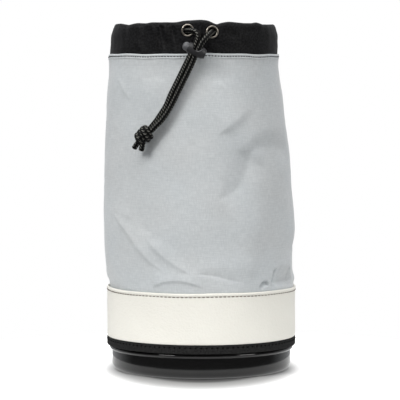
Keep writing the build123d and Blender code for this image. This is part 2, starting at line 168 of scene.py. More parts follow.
# %% World
def world_light(front, back, overhead):
    """Light from in front, behind and overhead, and the plain white that the camera sees."""
    world = bpy.data.worlds.new("studio_world")
    scene.world = world
    world.use_nodes = True
    tree = world.node_tree
    way = add_node(tree, "TexCoord", out="Generated")
    shares = []
    for axis, start, end, dim, bright in (("Y", 0.1, 0.75, front, back), ("Z", 0.3, 0.8, 0.0, overhead)):
        along = add_node(tree, "SeparateXYZ", {0: way}, out=axis)
        shares.append(add_node(tree, "MapRange", {
            "Value": along, "From Min": start, "From Max": end, "To Min": dim, "To Max": bright},
            interpolation_type="SMOOTHSTEP"))
    lit = tree.nodes["Background"]
    both = add_node(tree, "Math", {0: shares[0], 1: shares[1]}, operation="ADD")
    fill(lit, {"Color": linear("f4f6f8"), "Strength": both})
    seen = add_node(tree, "Background", {"Color": WHITE, "Strength": 1.0})
    ray = add_node(tree, "LightPath", out="Is Camera Ray")
    mix = add_node(tree, "MixShader", {0: ray, 1: lit.outputs[0], 2: seen})
    fill(tree.nodes["World Output"], {"Surface": mix})


world_light(0.10, 0.62, 0.5)
print("world is made of", len(scene.world.node_tree.nodes), "nodes")

# %% Soft boxes
SOFT_BOXES = [  # name, place, size, watts, whether shiny pieces mirror it
    ("soft_box_above", (-0.1, 0.1, 1.9), (1.5, 1.5), 10, True),
    ("key_left", (-1.6, -1.5, 1.6), (0.9, 0.9), 35, True),
    ("front_top", (-0.1, -1.5, 2.1), (1.8, 0.7), 13.5, True),
    ("fill_right", (1.9, -1.1, 0.95), (0.9, 1.2), 16, True),
    ("front_fill", (-0.1, -2.9, 0.8), (1.6, 1.2), 5, False),
    ("back_light", (0.1, 1.9, 1.1), (1.8, 1.0), 18, False)]
bag_middle = Vector((0, 0, 0.17))
for name, place, size, watts, in_gloss in SOFT_BOXES:
    light = bpy.data.lights.new(name, "AREA")
    light.shape = "RECTANGLE"
    light.size, light.size_y = size
    light.energy = watts
    light.color = linear("fffefc")[:3]
    lamp = add_object(name, light)
    lamp.location = place
    lamp.rotation_euler = (bag_middle - Vector(place)).to_track_quat("-Z", "Y").to_euler()
    lamp.visible_glossy = in_gloss
print("soft boxes", len(SOFT_BOXES), "with", sum(box[3] for box in SOFT_BOXES), "W together")

# %% [markdown]
# Every piece of cloth, cord or tape below is a grid of points with faces between them, and its UVs
# are its places on the flat cut sheet, in metres. Two functions make the faces and the UVs from a
# grid, so that each piece only has to say where its points are.

# %% Meshes from grids
def link_mesh(name, vertices, faces, material=None, uvs=None, smooth_shading=True):
    """A mesh object from plain arrays. uvs holds one pair for each corner of each face."""
    mesh = bpy.data.meshes.new(name)
    mesh.from_pydata(np.asarray(vertices, float).tolist(), [], faces)
    if uvs is not None:
        layer = mesh.uv_layers.new(name="cut_sheet")
        layer.data.foreach_set("uv", np.asarray(uvs, float).ravel())
    mesh.polygons.foreach_set("use_smooth", [smooth_shading] * len(mesh.polygons))
    mesh.update()
    if material:
        mesh.materials.append(material)
    return add_object(name, mesh)


def grid_faces(rows, columns, close_rows=False, close_columns=True):
    """Corners of the faces between a grid's points, row by row, closed on itself if asked."""
    i, j = np.meshgrid(np.arange(rows if close_rows else rows - 1),
                       np.arange(columns if close_columns else columns - 1), indexing="ij")
    here, there = i * columns, (i + 1) % rows * columns
    after = (j + 1) % columns
    return np.stack([here + j, here + after, there + after, there + j], axis=-1).reshape(-1, 4)


def grid_uvs(sheet):
    """The same corners on the cut sheet. A closed grid's sheet has one more row or column."""
    corners = [sheet[:-1, :-1], sheet[:-1, 1:], sheet[1:, 1:], sheet[1:, :-1]]
    return np.stack(corners, axis=2).reshape(-1, 4, 2)


def flat_sheet(u, v):
    """Places on a flat sheet: u runs along each row, v from row to row."""
    return np.stack(np.meshgrid(u, v), axis=-1)


def all_round(count):
    """Even angles once round the bag, from the back over the left side."""
    return np.linspace(-math.pi, math.pi, count, endpoint=False)


# %% [markdown]
# The floor is three round sheets, since one can't do three jobs. The first is the paper that the
# camera sees: a shadow is painted into its tone, an oval pool that darkens towards a dark line where
# the cup touches it, and beyond that it glows a little, so that its rim melts into the white. The
# second, a white card, is seen only in the cup's gloss. The third, a dimmer one, only throws light
# back up at the cloth.

# %% A round sheet
def disc(name, radius, height, material, unseen_by, steps=96):
    """A flat round sheet centred under the bag, left out for some kinds of ray."""
    turns = np.arange(steps) * TAU / steps
    rim = np.stack([radius * np.cos(turns), radius * np.sin(turns), np.full(steps, height)], axis=1)
    faces = [(0, 1 + i, 1 + (i + 1) % steps) for i in range(steps)]
    piece = link_mesh(name, np.vstack([[(0, 0, height)], rim]), faces, material, smooth_shading=False)
    for ray in unseen_by:
        setattr(piece, "visible_" + ray, False)
    print(name, "has a radius of", radius, "m and isn't seen by rays of", *unseen_by)


# %% Paper with a painted pool of shadow
# The oval pool is a painted shadow, drawn into the paper's base colour.
POOL_X, POOL_Y = 0.112, 0.19     # metres, half-sizes of the oval pool
FIBRES_PER_MM = 0.9              # real ones are finer, drawn coarse
PAINTED_SHADOW_TONES = [(0.45, "484848"), (0.56, "6c6c6c"), (0.62, "a4a4a4"), (0.8, "cacaca"), (1.0, "f8f8f8")]
paper, paper_tree = start_material(
    "matt_white_paper", "f6f6f5", 0.9, Specular_IOR_Level=0.1, Emission_Color=WHITE)
fibre = add_node(paper_tree, "TexNoise", {"Scale": FIBRES_PER_MM / MM, "Detail": 3.0})
paper_place = add_node(paper_tree, "TexCoord", out="Object")
pool = add_node(paper_tree, "Mapping", {"Vector": paper_place, "Scale": (1 / POOL_X, 1 / POOL_Y, 0)})
reach = add_node(paper_tree, "VectorMath", {0: pool}, out="Value", operation="LENGTH")
glow = add_node(paper_tree, "MapRange", {
    "Value": reach, "From Min": 0.7, "From Max": 1.1, "To Min": 0.0, "To Max": 0.9},
    interpolation_type="SMOOTHSTEP")
# base colour: the painted shadow, dark grey at the cup's foot to white at the oval's rim; emission: the glow
fill(paper_tree.nodes["Principled BSDF"], {
    "Base Color": add_node(paper_tree, "ValToRGB", {"Fac": reach}, stops=PAINTED_SHADOW_TONES),
    "Normal": add_node(paper_tree, "Bump", {"Strength": 0.05, "Height": fibre}),
    "Emission Strength": glow})

# %% The floor's three sheets
gloss_card, bounce_card = (
    start_material(name, "e8e8e7", 0.9, Emission_Color=WHITE, Emission_Strength=strength)[0]
    for name, strength in (("white_reflector_card", 0.5), ("dim_bounce_card", 0.38)))
disc("studio_floor", 0.32, 0.0, paper, unseen_by=("glossy", "diffuse"))
disc("reflector_under_cup", 0.162, -0.0005, gloss_card, unseen_by=("camera", "shadow", "diffuse"))
disc("bounce_sheet", 0.32, -0.001, bounce_card, unseen_by=("camera", "glossy", "shadow"))

# %% [markdown]
# The drawcord is one braided cord: a run inside the collar's tunnel and two tails that come out of
# the eyelets, pass through the lock and end in one knot. Each tail is a NURBS spline through the
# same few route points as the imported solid. Under the lock the tails hang a hair to one side of
# that line, as limp cord does.

# %% The tails' routes, as splines
TAIL_ROUTES = {
    "left": [(-22.29, -77.72, 339.0), (-15.9, -78.93, 339.0), (-9.3, -88.8, 339.0), (-3.4, -92.9, 336.8),
             (-3.83, -93.5, 328.28), (-33.19, -93.5, 268.61), (-42.6, -91.3, 254.5), (-49.6, -88.4, 244.1)],
    "right": [(18.02, -74.84, 339.0), (11.87, -76.94, 339.0), (7.4, -89.4, 334.6), (3.4, -92.8, 330.6),
              (-0.41, -93.5, 325.48), (-29.33, -93.5, 266.71), (-39.4, -94.5, 251.7), (-48.3, -92.1, 241.8)]}
TAIL_SHIFTS = {"left": (-0.25, 1.3), "right": (0.7, 0.3)}   # along X: under the lock, over the knot


def cord_line(name, route_mm):
    """Points along the smooth line that a cord takes from a few route points, in metres."""
    curve = bpy.data.curves.new(name, "CURVE")
    curve.dimensions = "3D"
    curve.resolution_u = 24
    spline = curve.splines.new("NURBS")
    spline.points.add(len(route_mm) - 1)
    for point, place in zip(spline.points, route_mm):
        point.co = (*(c * MM for c in place), 1.0)
    spline.order_u = 3
    spline.use_endpoint_u = True
    holder = add_object(name, curve)
    mesh = evaluated_mesh(holder)
    points = np.array([v.co[:] for v in mesh.vertices])
    bpy.data.objects.remove(holder)
    bpy.data.curves.remove(curve)
    bpy.data.meshes.remove(mesh)
    return points


tail_lines = {}
for side, (under_lock, over_knot) in TAIL_SHIFTS.items():
    line = cord_line(side + "_tail_line", TAIL_ROUTES[side])
    height = line[:, 2] / MM       # the lock ends at 314 and the knot begins at 244
    clear_of_lock = smooth((314 - height) / 8) * smooth((height - 244) / 10)
    near_knot = smooth((279 - height) / 14) * smooth((height - 243) / 10)
    line[:, 0] += (under_lock * clear_of_lock + over_knot * near_knot) * MM
    tail_lines[side] = line
    length = np.linalg.norm(np.diff(line, axis=0), axis=1).sum()
    print(side, "tail is", round(length / MM, 1), "mm long")

# %% [markdown]
# A bevelled curve would be a smooth rod, so the braid is a tube of mesh instead. Two sets of
# strands wind round it in opposite ways, and its radius follows whichever is on top. It stands a
# little proud of the plain solid, because a braid's strands fluff out where nothing presses them.
# Each point also keeps a weight for the painted highlights in the material: how near it is to the
# crown of a strand, in a few columns along the cord.

# %% The braid
CORD_D = 4.2
BRAID_PROUD = 0.9      # what the braid adds to the plain cord's diameter
STRANDS = 8            # a real 4 mm cord has 16; drawn coarse so that each one shows
STITCH_MM = 2.7        # length in which a strand goes once over and under, drawn coarse
DIP_MM, CROWN_MM = 0.10, 0.36      # dips between strands lie this deep, crowns this far above them
END_ROUND_MM = 0.9


def even_steps(points, step):
    """The same line with points an even step apart, and how far along it each one is."""
    gaps = np.linalg.norm(np.diff(points, axis=0), axis=1)
    along = np.concatenate([[0], np.cumsum(gaps)])
    count = max(8, int(round(along[-1] / step)))
    places = np.linspace(0, along[-1], count + 1)
    return np.stack([np.interp(places, along, points[:, k]) for k in range(3)], axis=1), places


def frames_along(points):
    """Two directions across a line that turn with it and never twist on their own."""
    tangents = np.gradient(points, axis=0)
    tangents /= np.linalg.norm(tangents, axis=1)[:, None]
    side = np.cross(tangents[0], (0.31, 0.17, 0.93))
    sides = []
    for tangent in tangents:
        side = unit(side - tangent * np.dot(side, tangent))
        sides.append(side)
    return np.array(sides), np.cross(tangents, sides)


# %% Braided tube
def braided_tube(name, line, diameter_mm, material, step_mm=0.3, around=48):
    """A tube whose skin is a braid: two sets of helical strands that pass over and under in turn."""
    points, along = even_steps(line, step_mm * MM)
    sides, ups = frames_along(points)
    turn = np.linspace(0, TAU, around, endpoint=False)
    along_grid, turn_grid = np.meshgrid(along / MM, turn, indexing="ij")
    half = STRANDS / 4         # a cosine's size has two crowns to a turn, and half the strands go each way
    phase = TAU * along_grid / STITCH_MM / 2
    one_way = np.abs(np.cos(half * turn_grid + phase)) ** 0.8
    other_way = np.abs(np.cos(half * turn_grid - phase)) ** 0.8
    over = 0.5 + 0.5 * np.tanh(3 * np.sin(2 * half * turn_grid) * np.sin(2 * phase))
    relief = one_way * over + other_way * (1 - over)
    radius = diameter_mm / 2 - DIP_MM + CROWN_MM * relief
    from_end = np.clip(np.minimum(along_grid, along_grid[-1] - along_grid) / END_ROUND_MM, 0, 1)
    radius = radius * np.sqrt(np.clip(1 - (1 - from_end) ** 2, 0.02, 1))
    ring = sides[:, None, :] * np.cos(turn_grid)[..., None] + ups[:, None, :] * np.sin(turn_grid)[..., None]
    skin = points[:, None, :] + ring * (radius * MM)[..., None]
    vertices = np.concatenate([skin.reshape(-1, 3), points[:1], points[-1:]])
    rows = len(points)
    first, last, end = rows * around, rows * around + 1, (rows - 1) * around
    caps = [(first, (j + 1) % around, j) for j in range(around)]
    caps += [(last, end + j, end + (j + 1) % around) for j in range(around)]
    sheet = flat_sheet(np.linspace(0, diameter_mm * MM * math.pi, around + 1), along)
    uvs = np.concatenate([grid_uvs(sheet).reshape(-1, 2), np.zeros((6 * around, 2))])
    piece = link_mesh(name, vertices, grid_faces(rows, around).tolist() + caps, material, uvs)
    # painted highlights: sparks kept to a few columns along the cord, where its filaments lie across the
    # light
    column = smooth((np.abs(np.cos(half * (turn_grid + 0.35))) - 0.45) / 0.3)
    crowns = piece.data.attributes.new("painted_strand_glint", "FLOAT", "POINT")
    crowns.data.foreach_set("value", np.concatenate([(one_way * column).ravel(), [0.0, 0.0]]))
    return piece


# %% [markdown]
# The cord is solution-dyed polyester multifilament, braided. It looks black with small grey sparks,
# because each strand's smooth filaments mirror the light along a narrow line. Here those sparks are
# painted highlights: light grey in the base colour on the strands' crowns. Soft ribs that run
# aslant over the strands break that line up.

# %% Cord material: braided polyester
WAVE_REPEAT = TAU / 10     # from band to band along U or V, in a diagonal wave texture of scale 1
RIB_MM = 2.2               # filaments lie in ribs; real ones are 0.02 mm, drawn coarse so that they show
braid, braid_tree = start_material(
    "braided_black_polyester", "050506", 0.55, IOR=1.57, Specular_IOR_Level=0.12)
braid_uv = add_node(braid_tree, "TexCoord", out="UV")
filaments = add_node(
    braid_tree, "TexWave", {"Vector": braid_uv, "Scale": WAVE_REPEAT / (RIB_MM * MM), "Distortion": 2.0},
    out="Fac", wave_type="BANDS", bands_direction="DIAGONAL")
# painted highlights: the glint weight turns the black base colour light grey on the crowns
painted_glint = add_node(braid_tree, "Attribute", out="Fac", attribute_name="painted_strand_glint")
tone_and_relief(braid_tree, painted_glint, [(0.78, "020203"), (1.0, "7a7a74")], filaments, 0.4, 0.1)

# %% The two tails
tails = {}
for side, line in tail_lines.items():
    tails[side] = braided_tube("tail_" + side, line, CORD_D + BRAID_PROUD, braid)
    stands_for(tails[side], "drawcord_tail_" + side)

# %% [markdown]
# The knot is an overhand knot tied with both tails at once and pulled tight. It could be sculpted
# as a ball with grooves, but a knot reads by its strands, so both strands are led round a small
# axis: in from the lock, once and a half round the pair, through, and out as cut ends.

# %% Routes of the knot's strands
STRAND_D, CUT_END_D = 4.7, 5.0
knot_centre = np.array((-55.3, -87.2, 237.4))
knot_axis = unit((-0.68, 0.14, -0.72))
knot_out = unit(np.array((0, -1, 0)) - knot_axis * np.dot((0, -1, 0), knot_axis))
knot_across = np.cross(knot_axis, knot_out)


def in_knot(along, across, out):
    """A place given by how far it is along the knot, across it and out toward the front."""
    return tuple(knot_centre + knot_axis * along + knot_across * across + knot_out * out)


def knot_strand(side):
    """Route of one of the two parallel strands: side is -1 or 1."""
    lead = [in_knot(-9.6, 2.2 * side, 0.6), in_knot(-7.4, 2.0 * side, 2.0)]
    wrap = []
    for step in range(10):
        turn = -50 + 56 * step
        along = -5.7 + 8.2 * (turn - 90) / 360 + 4.1 * (side > 0)
        reach = 1.0 - 0.12 * (abs(along) > 5)
        wrap.append(in_knot(max(-6.0, along), 6.3 * reach * math.cos(math.radians(turn)),
                            6.0 * reach * math.sin(math.radians(turn))))
    return lead + wrap + [in_knot(5.5, 1.4 * side, 0.5), in_knot(7.5, 1.8 * side, 0.0)]


# %% Knot and cut ends
CUT_ENDS = {  # places from the knot's centre
    "cut_end_left": [(-4.0, 0.0, -3.0), (-5.6, 0.6, -6.4), (-8.2, 1.6, -9.8), (-10.2, 2.6, -13.0)],
    "cut_end_right": [(-0.8, -1.6, -3.0), (-1.2, -1.6, -6.6), (-2.0, -0.8, -11.0), (-3.1, 0.2, -15.0)]}
knot_routes = [("knot_strand_left", knot_strand(-1), STRAND_D),
               ("knot_strand_right", knot_strand(1), STRAND_D)]
for name, places in CUT_ENDS.items():
    knot_routes.append((name, [knot_centre + np.array(p) for p in places], CUT_END_D))
knot_pieces = []
for name, route, diameter in knot_routes:
    knot_pieces.append(braided_tube(name, cord_line(name + "_line", route), diameter, braid))
    stands_for(knot_pieces[-1], "drawcord_knot")

# %% [markdown]
# The run inside the tunnel goes from eyelet to eyelet round the back. Nobody sees more of it than
# the first millimetres behind each eyelet, so its braid is coarser in mesh but the same in looks.

# %% Cord inside the collar
NECK_X = -7.6          # the collar's axis stands this far to the left of the base's
CHANNEL_R, CHANNEL_Z = 79.1, 339.0


def round_the_bag(centre, radius, turns, z):
    """Points at an angle round a vertical axis, counted from the front, in metres."""
    return np.stack([centre + radius * np.sin(turns), -radius * np.cos(turns), z], axis=-1) * MM


run_turns = np.radians(np.linspace(18.9, 360 - 10.7, 120))
run_line = round_the_bag(NECK_X, CHANNEL_R, run_turns, np.full(run_turns.shape, CHANNEL_Z))
channel_cord = braided_tube("channel_cord", run_line, CORD_D, braid, step_mm=0.8, around=20)
stands_for(channel_cord, "drawcord_channel_run")

# %% [markdown]
# The wall is a tube of coated polyester in plain weave, and it sags: the tube leans, bellies out
# above the band and is drawn in to the collar. Its form comes from nine circles. On top of that
# go the folds. A cloth simulation would give other folds each time a size is changed, so each fold
# is a stroke on the cut sheet instead: a line with a height, and a soft or sharp flank each side.

# %% The wall's leaning, tapering form
STATION_Z = np.linspace(84.15, 304.95, 9)
STATION_X = np.array([0, -2.4, -1.9, -2.7, -3.5, -4.4, -5.6, -6.8, -7.6])
STATION_R = np.array([93.35, 94.3, 96.2, 95.5, 94.05, 92.5, 90.4, 88.0, 85.15])
print("wall is", 2 * STATION_R.max(), "mm wide at most and leans", -STATION_X[-1], "mm to the left")


def through(stations, z):
    """A smooth line through evenly spaced stations, level beyond both ends."""
    place = np.clip((z - STATION_Z[0]) / (STATION_Z[1] - STATION_Z[0]), 0, len(stations) - 1)
    i = np.minimum(place.astype(int), len(stations) - 2)
    t = place - i
    padded = np.concatenate([[2 * stations[0] - stations[1]], stations, [stations[-1]]])
    a, b, c, d = padded[i], padded[i + 1], padded[i + 2], padded[i + 3]
    curved = (2 * a - 5 * b + 4 * c - d) * t ** 2 + (3 * b - a - 3 * c + d) * t ** 3
    return 0.5 * (2 * b + (c - a) * t + curved)


# %% Folds as strokes on the cut sheet
SHEET_R = 92.0         # turns an angle round the bag into a distance on the sheet


def stroke(turn, height, lift, soft, sharp, grow, fade, route):
    """Height that one fold gives each point of the sheet.

    lift: the fold's height, below 0 for a valley. soft, sharp: width of the flank on the left and on
    the right of the route as it is walked. grow: how many times wider it is at its end. fade: shares
    of its length over which it dies out, narrowing to a point. route: places, each in degrees from
    the front and a height.
    """
    line = np.array([(math.radians(a) * SHEET_R, z) for a, z in route])
    across = (turn + math.pi) % TAU - math.pi
    spot = np.stack([across * SHEET_R, height], axis=-1)
    lengths = np.linalg.norm(np.diff(line, axis=0), axis=1)
    before = np.concatenate([[0], np.cumsum(lengths)])
    best = np.full(turn.shape, 1e9)
    side = np.zeros(turn.shape)
    share = np.zeros(turn.shape)
    for start, end, walked, length in zip(line, line[1:], before, lengths):
        run = (end - start) / length
        offset = spot - start
        t = np.clip(offset[..., 0] * run[0] + offset[..., 1] * run[1], 0, length)
        away = np.hypot(offset[..., 0] - run[0] * t, offset[..., 1] - run[1] * t)
        nearer = away < best
        best = np.where(nearer, away, best)
        side = np.where(nearer, run[0] * offset[..., 1] - run[1] * offset[..., 0], side)
        share = np.where(nearer, (walked + t) / before[-1], share)
    die = smooth(share / fade[0]) * smooth((1 - share) / fade[1])
    width = np.where(side > 0, soft, sharp) * (1 + (grow - 1) * share) * (0.12 + 0.88 * die)
    return lift * die * np.exp(-(best / width) ** 1.6)


# %% Folds in front
FRONT_FOLDS = [  # lift, soft, sharp, grow, fade, route
    # two folds that fan out from the right shoulder, the hollow beside them and the belly below
    (2.5, 9, 3.8, 3.6, (0.3, 0.7), [(12.4, 236), (16.1, 241.8), (20.2, 247), (24.5, 251.8),
                                    (29.7, 257.1), (36.9, 262.8), (44, 266.7)]),
    (1.4, 13, 9, 1.4, (0.25, 0.3), [(21.4, 216.6), (25.7, 223.7), (31, 230.9), (37.4, 237.5),
                                    (45.3, 242.2), (55.7, 244.4), (72.2, 242.4)]),
    (-2.4, 11, 9, 1, (0.5, 0.12), [(26.7, 215.5), (34, 221.6), (40.4, 224.8), (47.5, 226.3),
                                   (56.8, 226.1), (76.5, 222.3)]),
    (-2.7, 13, 12, 1, (0.2, 0.25), [(36.4, 223.9), (33.2, 213.3), (31, 202.7), (27.8, 192.2),
                                    (22.9, 184.1), (17.1, 178.9), (11, 175.2)]),
    (1.3, 20, 20, 1, (0.3, 0.6), [(48.7, 218.6), (52.1, 197.9), (52.6, 177.2), (50.5, 157.7)]),
    # creases that run down to the right across the lower left
    (2.3, 9, 3.6, 1, (0.3, 0.3), [(-63.9, 161.5), (-55.2, 153.3), (-48.3, 145.1), (-44.1, 138.1),
                                  (-39.5, 129.1), (-34.4, 121.6), (-28.9, 113.7), (-23.9, 107.6),
                                  (-20.3, 103.9)]),
    (1.8, 8, 3.8, 1, (0.3, 0.3), [(-32.6, 139.4), (-30.7, 133.7), (-26.7, 128.5), (-22.9, 122.8),
                                  (-18.5, 117.2), (-13.6, 111.5), (-9, 106.7), (-4.6, 101.9)]),
    (0.9, 10, 6, 1, (0.4, 0.5), [(-63.9, 164.5), (-50.1, 160.7), (-39.1, 153.6)]),
    (-0.7, 6, 4, 1, (0.4, 0.4), [(-38.4, 147.8), (-33.3, 145.7), (-27.9, 141.6)]),
    # cloth piled on the band
    (2.0, 10, 1.6, 1, (0.2, 0.2), [(-30.7, 87.6), (-26.9, 92.2), (-22.8, 95), (-17.6, 96.2),
                                   (-11.5, 96.4), (-6.1, 95.1), (-1.5, 92.2), (2.4, 88.3)]),
    (2.1, 20, 10, 1, (0.7, 0.25), [(-7.8, 108.2), (0.6, 109.3), (7.7, 109.7), (16.1, 109), (26.3, 108),
                                   (36, 104.8), (42, 100.3)]),
    (-1.1, 3, 2, 1, (0.35, 0.4), [(-4.5, 102.4), (1.4, 102.7), (7.3, 101.9), (12, 99.8), (16.8, 97.2),
                                  (21.7, 95.5), (28.3, 93.6)]),
    # pinches at the right end of the band, and the waist above them
    (-5.0, 1.7, 1.9, 1, (0.12, 0.15), [(38.5, 85.9), (39.7, 89.7), (42, 92.1), (44.4, 92.2), (46, 89.1)]),
    (-5.0, 2.2, 1.6, 1, (0.3, 0.1), [(55.1, 107.8), (53, 103.1), (51.4, 97.8), (49.5, 91.6), (48.7, 85.3)]),
    (2.6, 8, 6, 1, (0.4, 0.1), [(49.4, 105.5), (59.3, 107.8), (77.5, 107)]),
    (1.3, 14, 10, 1, (0.4, 0.4), [(16.1, 115.8), (27.7, 114.2), (42.5, 109.1)]),
    (-6.0, 13, 5, 1, (0.35, 0.1), [(47.7, 91.8), (54.7, 91.5), (63.5, 91.9), (78.3, 91.8)]),
    (-2.6, 7, 7, 1, (0.5, 0.3), [(64, 119), (78, 122), (98, 124)]),
    # faint ones in the upper half and down the right side
    (0.6, 5, 2.8, 1, (0.5, 0.5), [(14, 291), (16.8, 285.3), (20.6, 280.9)]),
    (0.8, 5, 2.8, 1, (0.5, 0.5), [(-61.8, 295), (-53.2, 283.2), (-44.7, 269.6)]),
    (-0.25, 4, 4, 1, (0.3, 0.3), [(-40, 294), (-30, 293.5), (-18, 294.5), (-12, 295)]),
    (1.0, 16, 16, 1, (0.4, 0.4), [(26, 300), (23.5, 276), (21, 252)]),
    (0.8, 6, 4, 1, (0.3, 0.4), [(57.1, 192.6), (64.7, 202), (76.4, 210.3)]),
    (0.8, 6, 4, 1, (0.3, 0.4), [(58.1, 161), (65.5, 169.3), (77.1, 175.3)]),
    (-0.7, 8, 9, 1, (0.3, 0.3), [(70, 190), (74, 160), (72, 130)])]

# %% Folds for the sides and the back, and all of them together
def made_up_folds(seed):
    """Folds of the same kinds: slanting ones, and a pile on the band."""
    draw = np.random.default_rng(seed)
    folds = []
    for _ in range(13):
        turn, height = draw.uniform(98, 268), draw.uniform(125, 275)
        slope, reach = draw.choice((-1, 1)) * draw.uniform(0.6, 1.5), draw.uniform(10, 19)
        bow = draw.uniform(-8, 8)
        route = [(turn - reach, height - slope * reach), (turn, height + bow),
                 (turn + reach, height + slope * reach)]
        lift, soft, sharp = draw.uniform(0.9, 1.7), draw.uniform(9, 16), draw.uniform(3.2, 5.5)
        folds.append((lift, soft, sharp, 1, (0.3, 0.5), route))
    for turn in np.arange(96, 275, 21):
        turn = turn + draw.uniform(-5, 5)
        crest = draw.uniform(92, 99)
        route = [(turn - 13, 87), (turn - 5, crest), (turn + 5, crest + 1), (turn + 13, 88)]
        folds.append((draw.uniform(1.1, 1.8), 5.5, 3.0, 1, (0.25, 0.25), route))
    return folds


def behind(route):
    """A route with its angles from -180 to 180, or a little past -180 where it crosses the back."""
    route = [((a + 180) % 360 - 180 if abs(a) > 180 else a, z) for a, z in route]
    if max(a for a, _ in route) - min(a for a, _ in route) > 180:
        route = [(a - 360 if a > 0 else a, z) for a, z in route]
    return route


ALL_FOLDS = [(*fold, behind(route)) for *fold, route in FRONT_FOLDS + made_up_folds(seed=11)]
print("folds in front", len(FRONT_FOLDS), "and in all", len(ALL_FOLDS))

# %% Ripples, and the wall's whole relief
def ripple(turn, height, seed, waves, size_mm, lift):
    """Soft random ripples that close on themselves round the bag."""
    draw = np.random.default_rng(seed)
    total = np.zeros(turn.shape)
    for _ in range(waves):
        angle = draw.uniform(0, TAU)
        pace = TAU / (size_mm * draw.uniform(0.7, 1.6))
        turns = round(pace * math.cos(angle) * SHEET_R)
        total += np.cos(turns * turn + pace * math.sin(angle) * height + draw.uniform(0, TAU))
    return total * lift / math.sqrt(waves / 2)


def fold_relief(turn, height):
    """All folds and ripples together."""
    total = sum(stroke(turn, height, *fold) for fold in ALL_FOLDS)
    return total + ripple(turn, height, 3, 26, 52, 0.24) + ripple(turn, height, 5, 30, 17, 0.05)


# %% [markdown]
# The sheet is a grid of points, a column to each millimetre round the bag. Its foot goes down behind
# the band, its head is turned over and stitched to the collar. A second grid one cloth's thickness
# inside makes it a real double-faced sheet, which also shows when one looks into the bag.

# %% A sheet with two faces
def shell(name, outer, inner, material, sheet, closed_round=True):
    """Two grids of points joined along their rims. sheet: the points' places on the cut sheet."""
    rows, columns = outer.shape[:2]
    count, top = rows * columns, (rows - 1) * columns
    outside = grid_faces(rows, columns, close_columns=closed_round)
    uvs = grid_uvs(sheet)
    a = np.arange(columns if closed_round else columns - 1)
    b = (a + 1) % columns
    faces = [outside, outside[:, ::-1] + count, np.stack([a, count + a, count + b, b], axis=1),
             np.stack([top + a, top + b, count + top + b, count + top + a], axis=1)]
    corners = [uvs.reshape(-1, 2), uvs[:, ::-1].reshape(-1, 2),
               np.repeat(sheet[0, :len(a)], 4, axis=0), np.repeat(sheet[-1, :len(a)], 4, axis=0)]
    open_ends = () if closed_round else (0, columns - 1)
    for column in open_ends:
        a = np.arange(rows - 1) * columns + column
        end = np.stack([a, a + columns, count + a + columns, count + a], axis=1)
        faces.append(end[:, ::-1] if column else end)
        corners.append(np.repeat(sheet[:-1, column], 4, axis=0))
    vertices = np.concatenate([outer.reshape(-1, 3), inner.reshape(-1, 3)])
    return link_mesh(name, vertices, np.concatenate(faces).tolist(), material, np.concatenate(corners))


# %% The wall's surface
WALL_FOOT, WALL_TOP, HEM_Z = 84.15, 316.6, 314.0


def wall_radius(turn, z):
    """Outside of the woven wall at an angle and a height, folds and all."""
    radius = through(STATION_R, z)
    radius = np.where(z < WALL_FOOT, 90.9 + 2.3 * smooth((z - 78.5) / 5.6), radius)
    left_pull = 1.3 * np.exp(-((z - 84) / 13.0) ** 2) * smooth((-np.sin(turn) - 0.55) / 0.45)
    not_sewn = smooth((z - 83.0) / 9.0) * smooth((312.0 - z) / 22.0)
    radius = radius + fold_relief(turn, z) * not_sewn - left_pull * smooth((z - 80) / 4)
    pucker = 0.12 * np.sin(turn * 83 + 3 * np.sin(5 * turn))
    pucker = pucker + 0.18 * np.sin(turn * 9 + 1.3) * np.sin(turn * 4)
    turned_edge = 0.55 * smooth((z - 311.2) / 1.2) * (1 - smooth((z - 315.6) / 1.0) * 0.8)
    groove = 0.45 * np.exp(-((z - HEM_Z) / 0.55) ** 2)
    return radius + turned_edge - groove + pucker * smooth((z - 306) / 5)


def hem_sway(turn):
    """How far the hem wanders up and down."""
    return 0.35 * np.sin(5 * turn + 0.6) + 0.22 * np.sin(13 * turn)


# %% Woven wall
CLOTH_MM = 0.9
COLUMNS = 560
# rows: few behind the band, close together in the pile on it, and closest in the hem
wall_heights = np.concatenate([
    np.linspace(26, 78, 5), np.linspace(79.5, 83.5, 4), np.linspace(84.6, 130, 64, endpoint=False),
    np.linspace(130, 306, 150), np.linspace(306.8, WALL_TOP, 22)])
turn_grid, z_grid = np.meshgrid(all_round(COLUMNS), wall_heights)
outer_r = wall_radius(turn_grid, z_grid)
centre_x = through(STATION_X, z_grid)
wall_z = z_grid + hem_sway(turn_grid) * smooth((z_grid - 300) / 12)
wall_sheet = flat_sheet(np.linspace(-math.pi, math.pi, COLUMNS + 1) * SHEET_R, wall_heights) * MM
weave, weave_tree = start_material(
    "coated_polyester_plain_weave", "c3c7c8", 0.62, IOR=1.5, Sheen_Weight=0.25, Sheen_Roughness=0.4)
woven_wall = shell("woven_wall", round_the_bag(centre_x, outer_r, turn_grid, wall_z),
                   round_the_bag(centre_x, outer_r - CLOTH_MM, turn_grid, wall_z), weave, wall_sheet)
stands_for(woven_wall, "body_fabric")

# %% [markdown]
# Plain weave in a heavy polyester yarn: one thread over, one under. Real threads of such cloth are
# 0.6 mm apart. The relief is a product of two sines along the cut sheet, in the sheet's own
# metres, so it bends with the cloth. Two noises drawn out along the yarns, one for each direction,
# give their thick and thin places, and a slow one gives the uneven dye.

# %% Wall material: coated polyester, plain weave
THREAD_MM = 1.15       # real spacing 0.6 mm, drawn coarse so that it shows
YARNS = [              # axis of the sheet, length and width in mm of a thick place; drawn coarse too
    (0, 9.0, 1.2), (1, 6.0, 1.2)]


def weave_height(tree, spacing_mm, uv):
    """Relief of a plain weave: a chequer of thread crowns, from the sheet's own coordinates."""
    waves = {}
    for axis in (0, 1):
        along = add_node(tree, "SeparateXYZ", {0: uv}, out=axis)
        scaled = add_node(tree, "Math", {0: along, 1: math.pi / (spacing_mm * MM)}, operation="MULTIPLY")
        waves[axis] = add_node(tree, "Math", {0: scaled}, operation="SINE")
    return add_node(tree, "Math", waves, operation="MULTIPLY")


